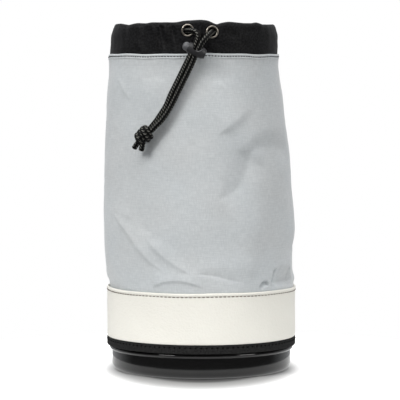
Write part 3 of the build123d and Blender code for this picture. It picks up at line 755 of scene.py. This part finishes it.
weave_uv = add_node(weave_tree, "TexCoord", out="UV")
crowns = weave_height(weave_tree, THREAD_MM, weave_uv)
yarns = {}
for axis, length_mm, width_mm in YARNS:
    scale = [1 / (width_mm * MM), 1 / (width_mm * MM), 1]
    scale[axis] = 1 / (length_mm * MM)
    stretched = add_node(weave_tree, "Mapping", {"Vector": weave_uv, "Scale": scale})
    yarns[axis] = add_node(weave_tree, "TexNoise", {
        "Vector": stretched, "Scale": 1.0, "Detail": 2.0, "Roughness": 0.6})
slub = add_node(weave_tree, "Math", yarns, operation="MULTIPLY")
dye = add_node(weave_tree, "TexNoise", {"Vector": weave_uv, "Scale": 1 / (60 * MM), "Detail": 1.0})
slub_tone, dye_tone = (
    add_node(weave_tree, "ValToRGB", {"Fac": pattern}, stops=stops) for pattern, stops in (
        (slub, [(0.13, "bdc2c5"), (0.39, "d9dddf")]), (dye, [(0.35, "c3c8cb"), (0.65, "c8cacb")])))
weave_colour = add_node(weave_tree, "Mix", {"Factor": 0.5, "A": slub_tone, "B": dye_tone},
                        out="Result", data_type="RGBA")
weave_relief = add_node(weave_tree, "Math", {0: crowns, 1: 0.35, 2: slub}, operation="MULTIPLY_ADD")
weave_bump = add_node(weave_tree, "Bump", {
    "Strength": 0.4, "Distance": 0.14 * MM, "Height": weave_relief})
fill(weave_tree.nodes["Principled BSDF"], {"Base Color": weave_colour, "Normal": weave_bump})

# %% [markdown]
# The collar is a strip of black nylon folded over the drawcord. Pulled up, it gathers: pleats that
# are nothing at the seam and deepest at the top, with a top edge that goes up and down with them.
# Between the eyelets a patch keeps it flat. The section is a long loop, up the outside, over the
# crown and down the inside, and it is swept round the collar's axis with the pleats as a change of
# radius.

# %% Pleats and top edge
PLEATS = [  # degrees at the top, degrees at the seam, width in degrees, depth in mm
    (-82, -80, 3.4, 0.2), (-70, -66, 3.0, 0.2), (-55, -52, 3.4, 0.6), (-37, -34, 3.0, 0.8),
    (-24.5, -18.5, 2.1, 3.2), (-16.4, -11.6, 1.9, 3.4), (16.6, 18.0, 2.2, 1.2), (33, 30, 3.6, 0.5),
    (44, 42, 3.0, 0.5), (57, 54, 3.4, 0.4), (66, 66, 2.6, 0.25), (79, 80, 3.2, 0.2)]
TOP_EDGE = [  # degrees, mm above the collar's plain top
    (-180, -0.6), (-120, -1.2), (-90, -1.0), (-66, -1.0), (-54, -2.8), (-43.5, -1.1), (-36, -1.6),
    (-30, -0.8), (-11.5, -0.9), (-7, 0.5), (5, 1.5), (10, 0.8), (16.3, -3.2), (19.5, -1.4), (25, -0.2),
    (38, -1.4), (46, -1.2), (49.5, -0.3), (58, -2.1), (68, -1.9), (90, -1.0), (130, -1.6), (180, -0.6)]


def collar_pleats():
    """The front's pleats, and more of the same round the back."""
    draw = np.random.default_rng(7)
    pleats = list(PLEATS)
    for turn in np.arange(93, 268, 11.5):
        turn = turn + draw.uniform(-3, 3)
        pleats.append((turn, turn + draw.uniform(-4, 4), draw.uniform(2.4, 4.2), draw.uniform(0.7, 1.6)))
    return pleats


def pleat_relief(degrees, height_share):
    """Change of radius by the pleats, inward where negative. height_share: 0 at the seam, 1 at the top."""
    total = np.zeros(degrees.shape)
    for top, foot, width, depth in collar_pleats():
        away = (degrees - foot - (top - foot) * height_share + 180) % 360 - 180
        flank = np.where(away > 0, 1.5, 0.8) * width
        crest = (away + 2.3 * width) / (1.5 * width)
        total += depth * (0.45 * np.exp(-crest ** 2) - np.exp(-(away / flank) ** 2))
    return total * smooth(height_share * 1.25) ** 0.8


# %% The collar's section
COLLAR_R, COLLAR_CROWN, COLLAR_HEIGHT = 84.2, 4.25, 31.4
COLLAR_IN, NECK_IN = 75.7, 82.3      # radius of the inner wall, and of the neck at the seam


def collar_section():
    """The section's radius, height and share of the way up, from the outer foot to the inner foot."""
    outer = [(COLLAR_R, z, (z - WALL_TOP) / COLLAR_HEIGHT) for z in np.linspace(307, 343.7, 34)]
    arc = [(COLLAR_R - COLLAR_CROWN + COLLAR_CROWN * math.cos(a), 343.75 + COLLAR_CROWN * math.sin(a), 1.0)
           for a in np.linspace(0.18, math.pi - 0.18, 12)]
    inner = [(COLLAR_IN, z, 1.0 - (343.7 - z) / COLLAR_HEIGHT) for z in np.linspace(343.7, 330.5, 8)]
    neck = [(COLLAR_IN + (NECK_IN - COLLAR_IN) * float(smooth(t)), 330.0 - 13.0 * t, 0.5 * (1 - t))
            for t in np.linspace(0.08, 1.0, 8)]
    foot = [(NECK_IN, z, 0.0) for z in (314.0, 307.0)]
    return np.array(outer + arc + inner + neck + foot)


# %% The section swept round and gathered
COLLAR_COLUMNS = 540
section = collar_section()
turn_c, _ = np.meshgrid(all_round(COLLAR_COLUMNS), section[:, 0])
degrees_c = np.degrees(turn_c)
radius_c, z_c, share_c = (np.repeat(section[:, k:k + 1], COLLAR_COLUMNS, axis=1) for k in range(3))
share_c = np.clip(share_c, 0, 1)
edge = np.interp(degrees_c, *zip(*TOP_EDGE))
for _ in range(3):     # rounds its corners off
    edge = (np.roll(edge, 1, axis=1) + edge + np.roll(edge, -1, axis=1)) / 3
z_c = z_c + edge * share_c ** 1.5
patched = smooth((degrees_c + 12.5) / 4) * smooth((21 - degrees_c) / 4) * smooth((z_c - 326) / 5)
calm = 1 - 0.6 * np.exp(-((np.abs(degrees_c) - 74) / 15) ** 2)     # drawn tight at the sides
sag = ripple(turn_c, z_c, 21, 24, 15, 0.16) + ripple(turn_c, z_c, 22, 16, 34, 0.3) * share_c
radius_c = radius_c + (pleat_relief(degrees_c, share_c) + sag * smooth(share_c * 3)) * (1 - patched) * calm
side_round = 2.4 * smooth((np.abs(np.sin(turn_c)) - 0.75) / 0.25) * smooth((z_c - 334) / 13)
left_lean = 1.9 * smooth((-np.sin(turn_c) - 0.3) / 0.7) * share_c
from_inside = (radius_c - COLLAR_IN) / (2 * COLLAR_CROWN)
radius_c = radius_c - (side_round + left_lean) * np.clip(from_inside, 0, 1)
loop = round_the_bag(NECK_X, radius_c, turn_c, z_c)
print("collar has", len(collar_pleats()), "pleats,", len(PLEATS), "of them in front")

# %% Collar with its two eyelet holes
EYELET_PLACES = [(-13.18, -84.01, 339.0), (10.48, -82.24, 337.5)]
HOLE_R, PLY_MM = 5.2, 0.8


def collar_mesh(name, points, material):
    """The swept loop with faces left out inside the eyelets, thickened to a ply of cloth."""
    rows, columns = points.shape[:2]
    flat_points = points.reshape(-1, 3)
    keep = np.ones(len(flat_points), bool)
    for place in EYELET_PLACES:
        keep &= np.linalg.norm(flat_points - np.array(place) * MM, axis=1) > HOLE_R * MM
    run = np.concatenate([[0], np.cumsum(np.linalg.norm(np.diff(points[:, 0], axis=0), axis=1))])
    sheet = flat_sheet(np.linspace(0, TAU * COLLAR_R * MM, columns + 1), run)
    faces = grid_faces(rows, columns)
    whole = keep[faces].all(axis=1)
    used, renumbered = np.unique(faces[whole], return_inverse=True)
    piece = link_mesh(name, flat_points[used], renumbered.reshape(-1, 4).tolist(), material,
                      grid_uvs(sheet)[whole])
    thicken = piece.modifiers.new("ply", "SOLIDIFY")
    thicken.thickness = PLY_MM * MM
    thicken.offset = -1
    return piece


nylon, nylon_tree = start_material(
    "black_nylon_taffeta", "09090a", 0.6, IOR=1.53, Specular_IOR_Level=0.14, Sheen_Weight=0.02)
collar = collar_mesh("gathered_collar", loop, nylon)
stands_for(collar, "drawcord_collar")

# %% [markdown]
# Black nylon taffeta: a tight plain weave of flat yarns, calendered so that it has a dull shine.
# It gives the eye a charcoal black that turns grey where a pleat faces the light. Its threads are
# 0.3 mm apart, drawn here at 0.9 mm so that they show. The binding tape further down is a nylon
# weave as well, so one function gives both their mottled black and their relief.

# %% Collar material: nylon taffeta
def black_weave(tree, thread_mm, fuzz_mm, stops, strength, depth_mm):
    """A black woven finish: threads and fuzz as relief, and fuzz as a mottled tone."""
    uv = add_node(tree, "TexCoord", out="UV")
    fuzz = add_node(tree, "TexNoise", {"Vector": uv, "Scale": 1 / (fuzz_mm * MM), "Detail": 3.0})
    relief = add_node(tree, "Math", {0: weave_height(tree, thread_mm, uv), 1: fuzz}, operation="ADD")
    tone_and_relief(tree, fuzz, stops, relief, strength, depth_mm)


black_weave(nylon_tree, 0.9, 2.0, [(0.4, "020203"), (0.66, "1c1c1e")], 0.3, 0.1)

# %% [markdown]
# The band is PVC leatherette: a foam-backed sheet embossed with a fine pebble and wrapped round a
# stiff core. Its upper edge is turned over, which makes a soft round bead with a stitched groove
# under it. A ring swept round would do for its form, but the real one is a strip, so it is a sheet
# with two faces like the wall, and its two ends stop just short of each other at the back.

# %% Leatherette band
BAND_BOTTOM, BAND_R = 25.85, 95.0
BAND_STITCH_Z = 80.6
BAND_STITCHES = 142            # each pulls the turned edge in a little
BUTT = math.radians(0.16)      # half of the gap between the two ends


def band_profile():
    """Outside of the band from its foot, which the trim covers, up over the turned edge."""
    side = [(94.35, z) for z in (BAND_BOTTOM, 30.0, 33.6)]
    side += [(BAND_R, z) for z in np.concatenate([[34.4], np.linspace(36, 78.6, 30)])]
    groove = [(BAND_R - 0.05, 79.4), (BAND_R - 0.22, 80.0), (BAND_R - 0.34, 80.6), (BAND_R - 0.12, 81.2)]
    bead = [(95.28, 81.9), (95.34, 82.7), (95.15, 83.5), (94.75, 84.0), (94.2, 84.2)]
    return np.array(side + groove + bead)


def band_sway(turn):
    """How far the turned edge and its stitches wander up and down."""
    return 0.22 * np.sin(3 * turn + 0.4) + 0.16 * np.sin(8 * turn)


profile = band_profile()
band_turns = np.linspace(-math.pi + BUTT, math.pi - BUTT, 380)
turn_b, _ = np.meshgrid(band_turns, profile[:, 0])
r_b, z_b = (np.repeat(profile[:, k:k + 1], len(band_turns), axis=1) for k in range(2))
pulled_by_stitches = 0.06 * np.sin(turn_b * BAND_STITCHES) * smooth((z_b - 78.8) / 1.5)
r_b = r_b + ripple(turn_b, z_b, 31, 20, 55, 0.10) * smooth((z_b - 35) / 6) + pulled_by_stitches
z_b = z_b + band_sway(turn_b) * smooth((z_b - 60) / 20)
inner_r = np.where(z_b > 83.9, 93.9, 93.42)
leather, leather_tree = start_material(
    "ivory_pvc_leatherette", "ecebe8", 0.55, IOR=1.52, Specular_IOR_Level=0.3)
band = shell("leatherette_band", round_the_bag(0, r_b, turn_b, z_b),
             round_the_bag(0, inner_r, turn_b, z_b - 0.3 * (z_b > 83)), leather,
             np.stack([turn_b * BAND_R, z_b], axis=-1) * MM, closed_round=False)
stands_for(band, "leather_band")

# %% Leatherette material: pebble grain
PEBBLE_MM = 1.8        # embossed pebbles of such a sheet are 1 to 2 mm across
leather_uv = add_node(leather_tree, "TexCoord", out="UV")
pebble = add_node(
    leather_tree, "TexVoronoi", {
        "Vector": leather_uv, "Scale": 1 / (PEBBLE_MM * MM), "Smoothness": 0.6, "Randomness": 1.0},
    feature="SMOOTH_F1")
pore, wear = (
    add_node(leather_tree, "TexNoise", {"Vector": leather_uv, "Scale": 1 / (size_mm * MM), "Detail": detail})
    for size_mm, detail in ((0.9, 2.0), (60, 3.0)))
grain = add_node(leather_tree, "Math", {0: pore, 1: 0.35, 2: pebble}, operation="MULTIPLY_ADD")
tone_and_relief(leather_tree, wear, [(0.35, "eeece4"), (0.7, "f2f0e8")], grain, 0.9, 0.3, invert=True)

# %% [markdown]
# A folded black binding closes the raw edges at the foot of the band. It is a woven nylon tape with
# fine cross ribs, pressed round at its fold, and a row of slanting stitches holds it. None of its
# ends shows, so it is one closed section swept all the way round.

# %% The trim's section
TRIM_RIBS = 176        # round the whole ring


def trim_profile():
    """Section of the folded tape, from the top of its outer leg, round the fold, to the inner leg's top."""
    outer = [(94.45, 34.0), (94.85, 34.05), (95.12, 33.8), (95.22, 33.2), (95.22, 32.4), (95.22, 31.8),
             (95.05, 31.4), (94.98, 31.1), (95.05, 30.8), (95.24, 30.3), (95.24, 29.2), (95.24, 28.0),
             (95.24, 27.0), (95.2, 26.2), (95.0, 25.5), (94.6, 25.08)]
    under = [(r, 25.0) for r in (94.0, 93.0, 92.0, 91.0)] + [(90.0, 25.05), (89.5, 25.3), (89.2, 25.8)]
    inner = [(89.15, z) for z in (27.0, 30.0, 33.0, 33.9)] + [(89.5, 34.0), (89.9, 33.9)]
    lining = [(89.95, 33.0), (89.95, 26.2), (90.2, 25.85), (94.1, 25.85), (94.38, 26.2), (94.4, 33.6)]
    return np.array(outer + under + inner + lining)


def swept_ring(name, profile, columns, material, rib_height=0.0):
    """A closed section swept all the way round the base's axis, with ribs on its outer side."""
    turns = all_round(columns)[:, None]
    on_outside = np.clip((profile[:, 0] - 94.9) / 0.3, 0, 1)
    radius = profile[:, 0] + rib_height * np.sin(turns * TRIM_RIBS) * on_outside
    points = round_the_bag(0, radius, turns, np.broadcast_to(profile[:, 1], radius.shape))
    lengths = np.linalg.norm(np.diff(np.vstack([profile, profile[:1]]), axis=0), axis=1)
    run = np.concatenate([[0], np.cumsum(lengths)]) * MM
    sheet = flat_sheet(run, np.linspace(0, TAU * BAND_R * MM, columns + 1))[..., ::-1]
    faces = grid_faces(columns, len(profile), close_rows=True)
    return link_mesh(name, points.reshape(-1, 3), faces.tolist(), material, grid_uvs(sheet))


# %% Folded trim and its material
binding, binding_tree = start_material(
    "ribbed_nylon_binding", "1b1b1b", 0.7, IOR=1.53, Specular_IOR_Level=0.06)
trim = swept_ring("folded_trim", trim_profile(), 720, binding, rib_height=0.05)
stands_for(trim, "base_trim")
black_weave(binding_tree, 0.8, 1.5, [(0.3, "141414"), (0.7, "2f2f2f")], 0.6, 0.15)

# %% [markdown]
# The cup is injection-moulded ABS from a polished tool: near-black, glossy, with faint flow marks.
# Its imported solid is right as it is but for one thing, a small moulded bead under the shoulder that
# catches a line of light. So a copy of the solid is joined with the bead, a ring swept round.

# %% Cup material: moulded ABS
abs_black, abs_tree = start_material("glossy_moulded_abs", "0b0b0b", 0.22, IOR=1.5, Specular_IOR_Level=0.55)
abs_place = add_node(abs_tree, "TexCoord", out="Object")
flow, scuff = (
    add_node(abs_tree, "TexNoise", {"Vector": abs_place, "Scale": 1 / (size_mm * MM), "Detail": detail})
    for size_mm, detail in ((30, 3.0), (2.5, 4.0)))
fill(abs_tree.nodes["Principled BSDF"], {
    "Roughness": add_node(abs_tree, "MapRange", {"Value": scuff, "To Min": 0.05, "To Max": 0.09}),
    "Normal": add_node(abs_tree, "Bump", {"Strength": 0.05, "Distance": 0.4 * MM, "Height": flow})})

# %% Cup with the bead under its shoulder
CUP_BEAD = np.array([(90.0, 19.8), (91.1, 20.3), (91.9, 20.9), (92.4, 21.8), (92.5, 22.9), (92.1, 23.9),
                     (91.2, 24.5), (90.0, 24.6)])
SHARP = math.radians(32)       # edges sharper than this stay sharp in the shading


def packed_mesh(node):
    """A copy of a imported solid's mesh, where it stands on the bag."""
    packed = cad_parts[node]
    mesh = packed.data.copy()
    mesh.transform(packed.matrix_world)
    return mesh


def mesh_of(form, name):
    """A finished mesh from one under construction."""
    mesh = bpy.data.meshes.new(name)
    form.to_mesh(mesh)
    form.free()
    return mesh


bead_ring = swept_ring("cup_bead_ring", CUP_BEAD, 240, None)
form = bmesh.new()
form.from_mesh(packed_mesh("base_cup"))
form.from_mesh(bead_ring.data)
cup_mesh = mesh_of(form, "moulded_cup")
bpy.data.objects.remove(bead_ring)
cup_mesh.materials.append(abs_black)
cup_mesh.set_sharp_from_angle(angle=SHARP)
stands_for(add_object("moulded_cup", cup_mesh), "base_cup")

# %% [markdown]
# Eyelets and their washers are stamped brass with bright nickel plating, a little warm and dulled
# by handling. A metal's colour is its reflection, so the base colour is the metal's own and the
# tiny scratches change only how sharply it mirrors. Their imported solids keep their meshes.

# %% Eyelet material: nickel-plated brass
def finish_node(node, material):
    """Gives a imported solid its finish, on every material slot that it has."""
    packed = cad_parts[node]
    for slot in packed.material_slots:
        slot.material = material
    if not packed.material_slots:
        packed.data.materials.append(material)
    print(node, "is finished in", material.name)


nickel, nickel_tree = start_material("nickel_plated_brass", "aaa399", 0.28, Metallic=1.0)
nickel_place = add_node(nickel_tree, "TexCoord", out="Object")
rub = add_node(nickel_tree, "TexNoise", {"Vector": nickel_place, "Scale": 1 / (0.8 * MM), "Detail": 4.0})
fill(nickel_tree.nodes["Principled BSDF"], {
    "Roughness": add_node(nickel_tree, "MapRange", {"Value": rub, "To Min": 0.2, "To Max": 0.42})})
for node in ("eyelet_left", "eyelet_right", "eyelet_washer_left", "eyelet_washer_right"):
    finish_node(node, nickel)

# %% [markdown]
# The lock is acetal, moulded with a fine spark-eroded texture: dull black with a broad, weak
# highlight. Its button is the same plastic in dark grey. The spring is plain steel wire. Stiffener
# and backing patch are never seen from outside, but they are there when one looks for them.

# %% Lock, spring, stiffener and patch materials
def mottled_finish(name, dark, light, roughness, grit_mm, relief, **sockets):
    """A finish with a fine grit, mottled between two close colours.

    grit_mm: size of its grit, several times the real one so that it shows.
    """
    material, tree = start_material(name, dark, roughness, **sockets)
    place = add_node(tree, "TexCoord", out="Object")
    grit = add_node(tree, "TexNoise", {"Vector": place, "Scale": 1 / (grit_mm * MM), "Detail": 3.0})
    tone_and_relief(tree, grit, [(0.3, dark), (0.7, light)], grit, relief, 0.08)
    return material


acetal_black = mottled_finish("black_moulded_acetal", "29292b", "343436", 0.4, 0.5, 0.3, IOR=1.48)
acetal_grey = mottled_finish("grey_moulded_acetal", "57585a", "646568", 0.36, 0.5, 0.3, IOR=1.48)
polypropylene = mottled_finish("white_polypropylene_sheet", "d9dad8", "e2e3e1", 0.5, 1.5, 0.2, IOR=1.49)
patch_cloth = mottled_finish("black_woven_backing", "101010", "1c1c1c", 0.75, 0.7, 0.6, IOR=1.5)
spring_steel = mottled_finish("spring_steel_wire", "8d8f92", "a3a5a8", 0.3, 0.4, 0.1, Metallic=1.0)
finish_node("band_stiffener", polypropylene)
finish_node("eyelet_backing_patch", patch_cloth)

# %% [markdown]
# The cords go into the lock through a funnel in the barrel's upper front, so they are seen in front
# of it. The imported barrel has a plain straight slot. Here a copy of it, and of the plunger inside,
# gets the funnel as a cut: a rounded bowl for the barrel, a longer one for the plunger, which moves.

# %% Lock barrel and button with the funnel cut
LOCK_CENTRE = (-5.65, -93.5, 319.7)
LOCK_TILT = math.radians(24.0)


def bowl(name, middle, radii):
    """An ellipsoid cutter: its middle and radii along the barrel, front to back and up."""
    form = bmesh.new()
    bmesh.ops.create_uvsphere(form, u_segments=40, v_segments=24, radius=MM)
    mesh = mesh_of(form, name)
    spin = Matrix.Rotation(LOCK_TILT, 4, "Y")
    mesh.transform(Matrix.Translation(Vector(LOCK_CENTRE) * MM) @ spin
                   @ Matrix.Translation(Vector(middle) * MM) @ Matrix.Diagonal((*radii, 1.0)))
    return add_object(name, mesh)


def carved(node, cutter, material):
    """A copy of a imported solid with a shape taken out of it."""
    mesh = packed_mesh(node)
    form = bmesh.new()
    form.from_mesh(mesh)
    bmesh.ops.remove_doubles(form, verts=form.verts, dist=1e-6)
    piece = add_object(node + "_carved", mesh_of(form, node + "_carved"))
    cut = piece.modifiers.new("cut", "BOOLEAN")
    cut.object = cutter
    cut.solver = "EXACT"
    piece.data = evaluated_mesh(piece)
    piece.modifiers.clear()
    bpy.data.objects.remove(cutter)
    piece.data.polygons.foreach_set("use_smooth", [True] * len(piece.data.polygons))
    piece.data.set_sharp_from_angle(angle=SHARP)
    piece.data.materials.clear()
    piece.data.materials.append(material)
    print(node, "faces before and after the cut", len(mesh.polygons), len(piece.data.polygons))
    return piece


barrel = carved("cord_lock_barrel", bowl("barrel_funnel", (1.0, -5.4, 5.0), (5.4, 7.0, 5.6)), acetal_black)
button = carved("cord_lock_plunger", bowl("plunger_funnel", (-0.4, -5.4, 5.0), (7.4, 7.0, 5.6)), acetal_grey)
stands_for(barrel, "cord_lock_barrel", body="cord_lock")
stands_for(button, "cord_lock_plunger", body="button")

# %% [markdown]
# The spring sits in the barrel's bore and shortens when the button is pressed. A copy of the packed
# coil stands for it, in steel wire, and moves with the lock.

# %% Lock spring
coil = packed_mesh("cord_lock_spring")
coil.materials.clear()
coil.materials.append(spring_steel)
lock_spring = add_object("lock_spring", coil)
stands_for(lock_spring, "cord_lock_spring", body="cord_lock")
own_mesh(lock_spring)

# %% [markdown]
# Lockstitch rows. A packed thread is one smooth ring, but a real row is separate short stitches
# that dive into the cloth. Each stitch is a small capsule laid along the row, dipping at both ends,
# and a whole row is one mesh. The pitch is that of such seams, 3 to 5.5 mm.

# %% Stitches
STITCH_ROUND, STITCH_STEPS = 8, 7      # points round a stitch, and rings of them along it
ROUND_STEP_MM = 0.2                    # from point to point round it, on the flat sheet


def stitch_rows(name, stitches, diameter_mm, material):
    """One mesh of many stitches: arrays of where each starts and ends and of the way out of the cloth."""
    starts, ends, outward = (part[:, None, None, :] for part in stitches)
    runs = ends - starts
    across = np.cross(runs, outward)
    across /= np.linalg.norm(across, axis=-1, keepdims=True)
    share = np.linspace(0, 1, STITCH_STEPS)[:, None, None]
    turn = (np.arange(STITCH_ROUND) * TAU / STITCH_ROUND)[:, None]
    bow = np.sin(math.pi * share)
    radius = diameter_mm * MM / 2 * np.maximum(0.12, bow ** 0.45)
    dip = 0.55 * diameter_mm * MM * (bow - 1)
    points = starts + runs * share + outward * dip + radius * (across * np.cos(turn) + outward * np.sin(turn))

    first = np.arange(len(starts))[:, None] * STITCH_STEPS * STITCH_ROUND
    ring = np.arange(STITCH_ROUND)
    faces = (first[..., None] + grid_faces(STITCH_STEPS, STITCH_ROUND)).reshape(-1, 4).tolist()
    faces += (first + ring[::-1]).tolist() + (first + (STITCH_STEPS - 1) * STITCH_ROUND + ring).tolist()
    lengths = np.linalg.norm(runs, axis=-1, keepdims=True)
    across_sheet = np.arange(STITCH_ROUND + 1) * ROUND_STEP_MM * MM
    unrolled = grid_uvs(flat_sheet(across_sheet, np.linspace(0, 1, STITCH_STEPS)))
    uvs = unrolled * np.concatenate([np.ones(lengths.shape), lengths], axis=-1)
    caps = np.zeros((2 * STITCH_ROUND * len(starts), 2))
    return link_mesh(name, points.reshape(-1, 3), faces, material, np.concatenate([uvs.reshape(-1, 2), caps]))


# %% Places of a ring of stitches
def facing_out(turns):
    """Level directions straight out of the bag at each angle."""
    return np.stack([np.sin(turns), -np.cos(turns), 0 * turns], axis=-1)


def ring_of_stitches(line, centre, pitch, gap, slant=0.0):
    """Stitches round the bag along a line that gives a radius and a height at each angle."""
    count = int(round(TAU * line(np.zeros(1))[0][0] / pitch))
    begin = -math.pi + TAU * np.arange(count) / count
    ends = []
    for share, rise in ((gap / 2, -slant / 2), (1 - gap / 2, slant / 2)):
        turns = begin + TAU * share / count
        radius, z = line(turns)
        ends.append(round_the_bag(centre, radius, turns, z + rise))
    print("a row of", count, "stitches,", pitch, "mm apart")
    return (*ends, facing_out(begin + math.pi / count))


# %% [markdown]
# Bonded nylon thread is two or three plies twisted together and sealed. Its soft shine runs round it
# like the thread of a screw. Plies could be modelled, but at this size a diagonal wave drawn on each
# stitch gives the eye the same.

# %% Thread materials
PLY_TWIST_MM = 3.14    # length of one twist of the plies


def thread_material(name, dark, light, gloss=0.3):
    """Bonded nylon thread, in the two tones of its twist."""
    material, tree = start_material(name, dark, 0.5, IOR=1.53, Specular_IOR_Level=gloss)
    uv = add_node(tree, "TexCoord", out="UV")
    twist = add_node(tree, "TexWave", {"Vector": uv, "Scale": WAVE_REPEAT / (PLY_TWIST_MM * MM)},
                     out="Fac", wave_type="BANDS", bands_direction="DIAGONAL")
    tone_and_relief(tree, twist, [(0.1, dark), (0.9, light)], twist, 0.5, 0.08)
    return material


dark_thread = thread_material("dark_bonded_nylon_thread", "141517", "222427")
taupe_thread = thread_material("taupe_bonded_nylon_thread", "5f524b", "7a6c63")
black_thread = thread_material("black_bonded_nylon_thread", "010101", "040404", gloss=0.03)

# %% Rows round the bag
BAND_ROW_R, TRIM_ROW_R, TRIM_ROW_Z = 95.05, 94.95, 31.1


def hem_line(turns):
    """Radius and height of the hem's row at each angle, and so for the two rows below."""
    return wall_radius(turns, np.full(turns.shape, HEM_Z)) + 0.2, HEM_Z + hem_sway(turns)


def band_line(turns):
    return np.full(turns.shape, BAND_ROW_R), BAND_STITCH_Z + band_sway(turns)


def trim_line(turns):
    return np.full(turns.shape, TRIM_ROW_R), np.full(turns.shape, TRIM_ROW_Z)


hem_stitches = ring_of_stitches(hem_line, NECK_X, pitch=3.1, gap=0.02)
band_stitches = ring_of_stitches(band_line, 0, pitch=4.2, gap=0.14)
trim_stitches = ring_of_stitches(trim_line, 0, pitch=5.3, gap=0.34, slant=1.8)
stands_for(stitch_rows("hem_stitches", hem_stitches, 1.1, dark_thread), "hem_topstitch")
stands_for(stitch_rows("band_stitches", band_stitches, 0.85, taupe_thread), "band_topstitch")
stands_for(stitch_rows("trim_stitches", trim_stitches, 1.5, black_thread), "trim_stitching")

# %% [markdown]
# Behind the bag two rows close the woven tube, one on each side of its seam, and eight bars of
# thread lace the band's two ends together. The rows follow the wall's own form, folds included.

# %% Seam rows up the back
FROM_SEAM = 3.0        # distance of each row, and of each bar's ends, from the middle of the seam
SEAM_FOOT, SEAM_PITCH, SEAM_STITCHES = 88.0, 3.6, 60
seam_turns = np.repeat([math.pi + FROM_SEAM / SHEET_R, math.pi - FROM_SEAM / SHEET_R], SEAM_STITCHES)
seam_ends = []
for share in (0.12, 0.88):
    z = SEAM_FOOT + (np.tile(np.arange(SEAM_STITCHES), 2) + share) * SEAM_PITCH
    seam_ends.append(round_the_bag(through(STATION_X, z), wall_radius(seam_turns, z) + 0.15, seam_turns, z))
back_seam = stitch_rows("back_seam_stitches", (*seam_ends, facing_out(seam_turns)), 0.6, dark_thread)
stands_for(back_seam, "back_seam_stitching")

# %% Bars that lace the band's ends
BAR_FOOT, BAR_PITCH, BARS = 42.0, 4.5, 8
bar_z = BAR_FOOT + BAR_PITCH * np.arange(BARS)
bar_turns = np.full(bar_z.shape, math.pi)
bar_ends = [round_the_bag(0, BAND_R, bar_turns + side * FROM_SEAM / BAND_R, bar_z) for side in (-1, 1)]
band_seam = stitch_rows("band_seam_stitches", (*bar_ends, facing_out(bar_turns)), 0.9, taupe_thread)
stands_for(band_seam, "band_seam_stitching")
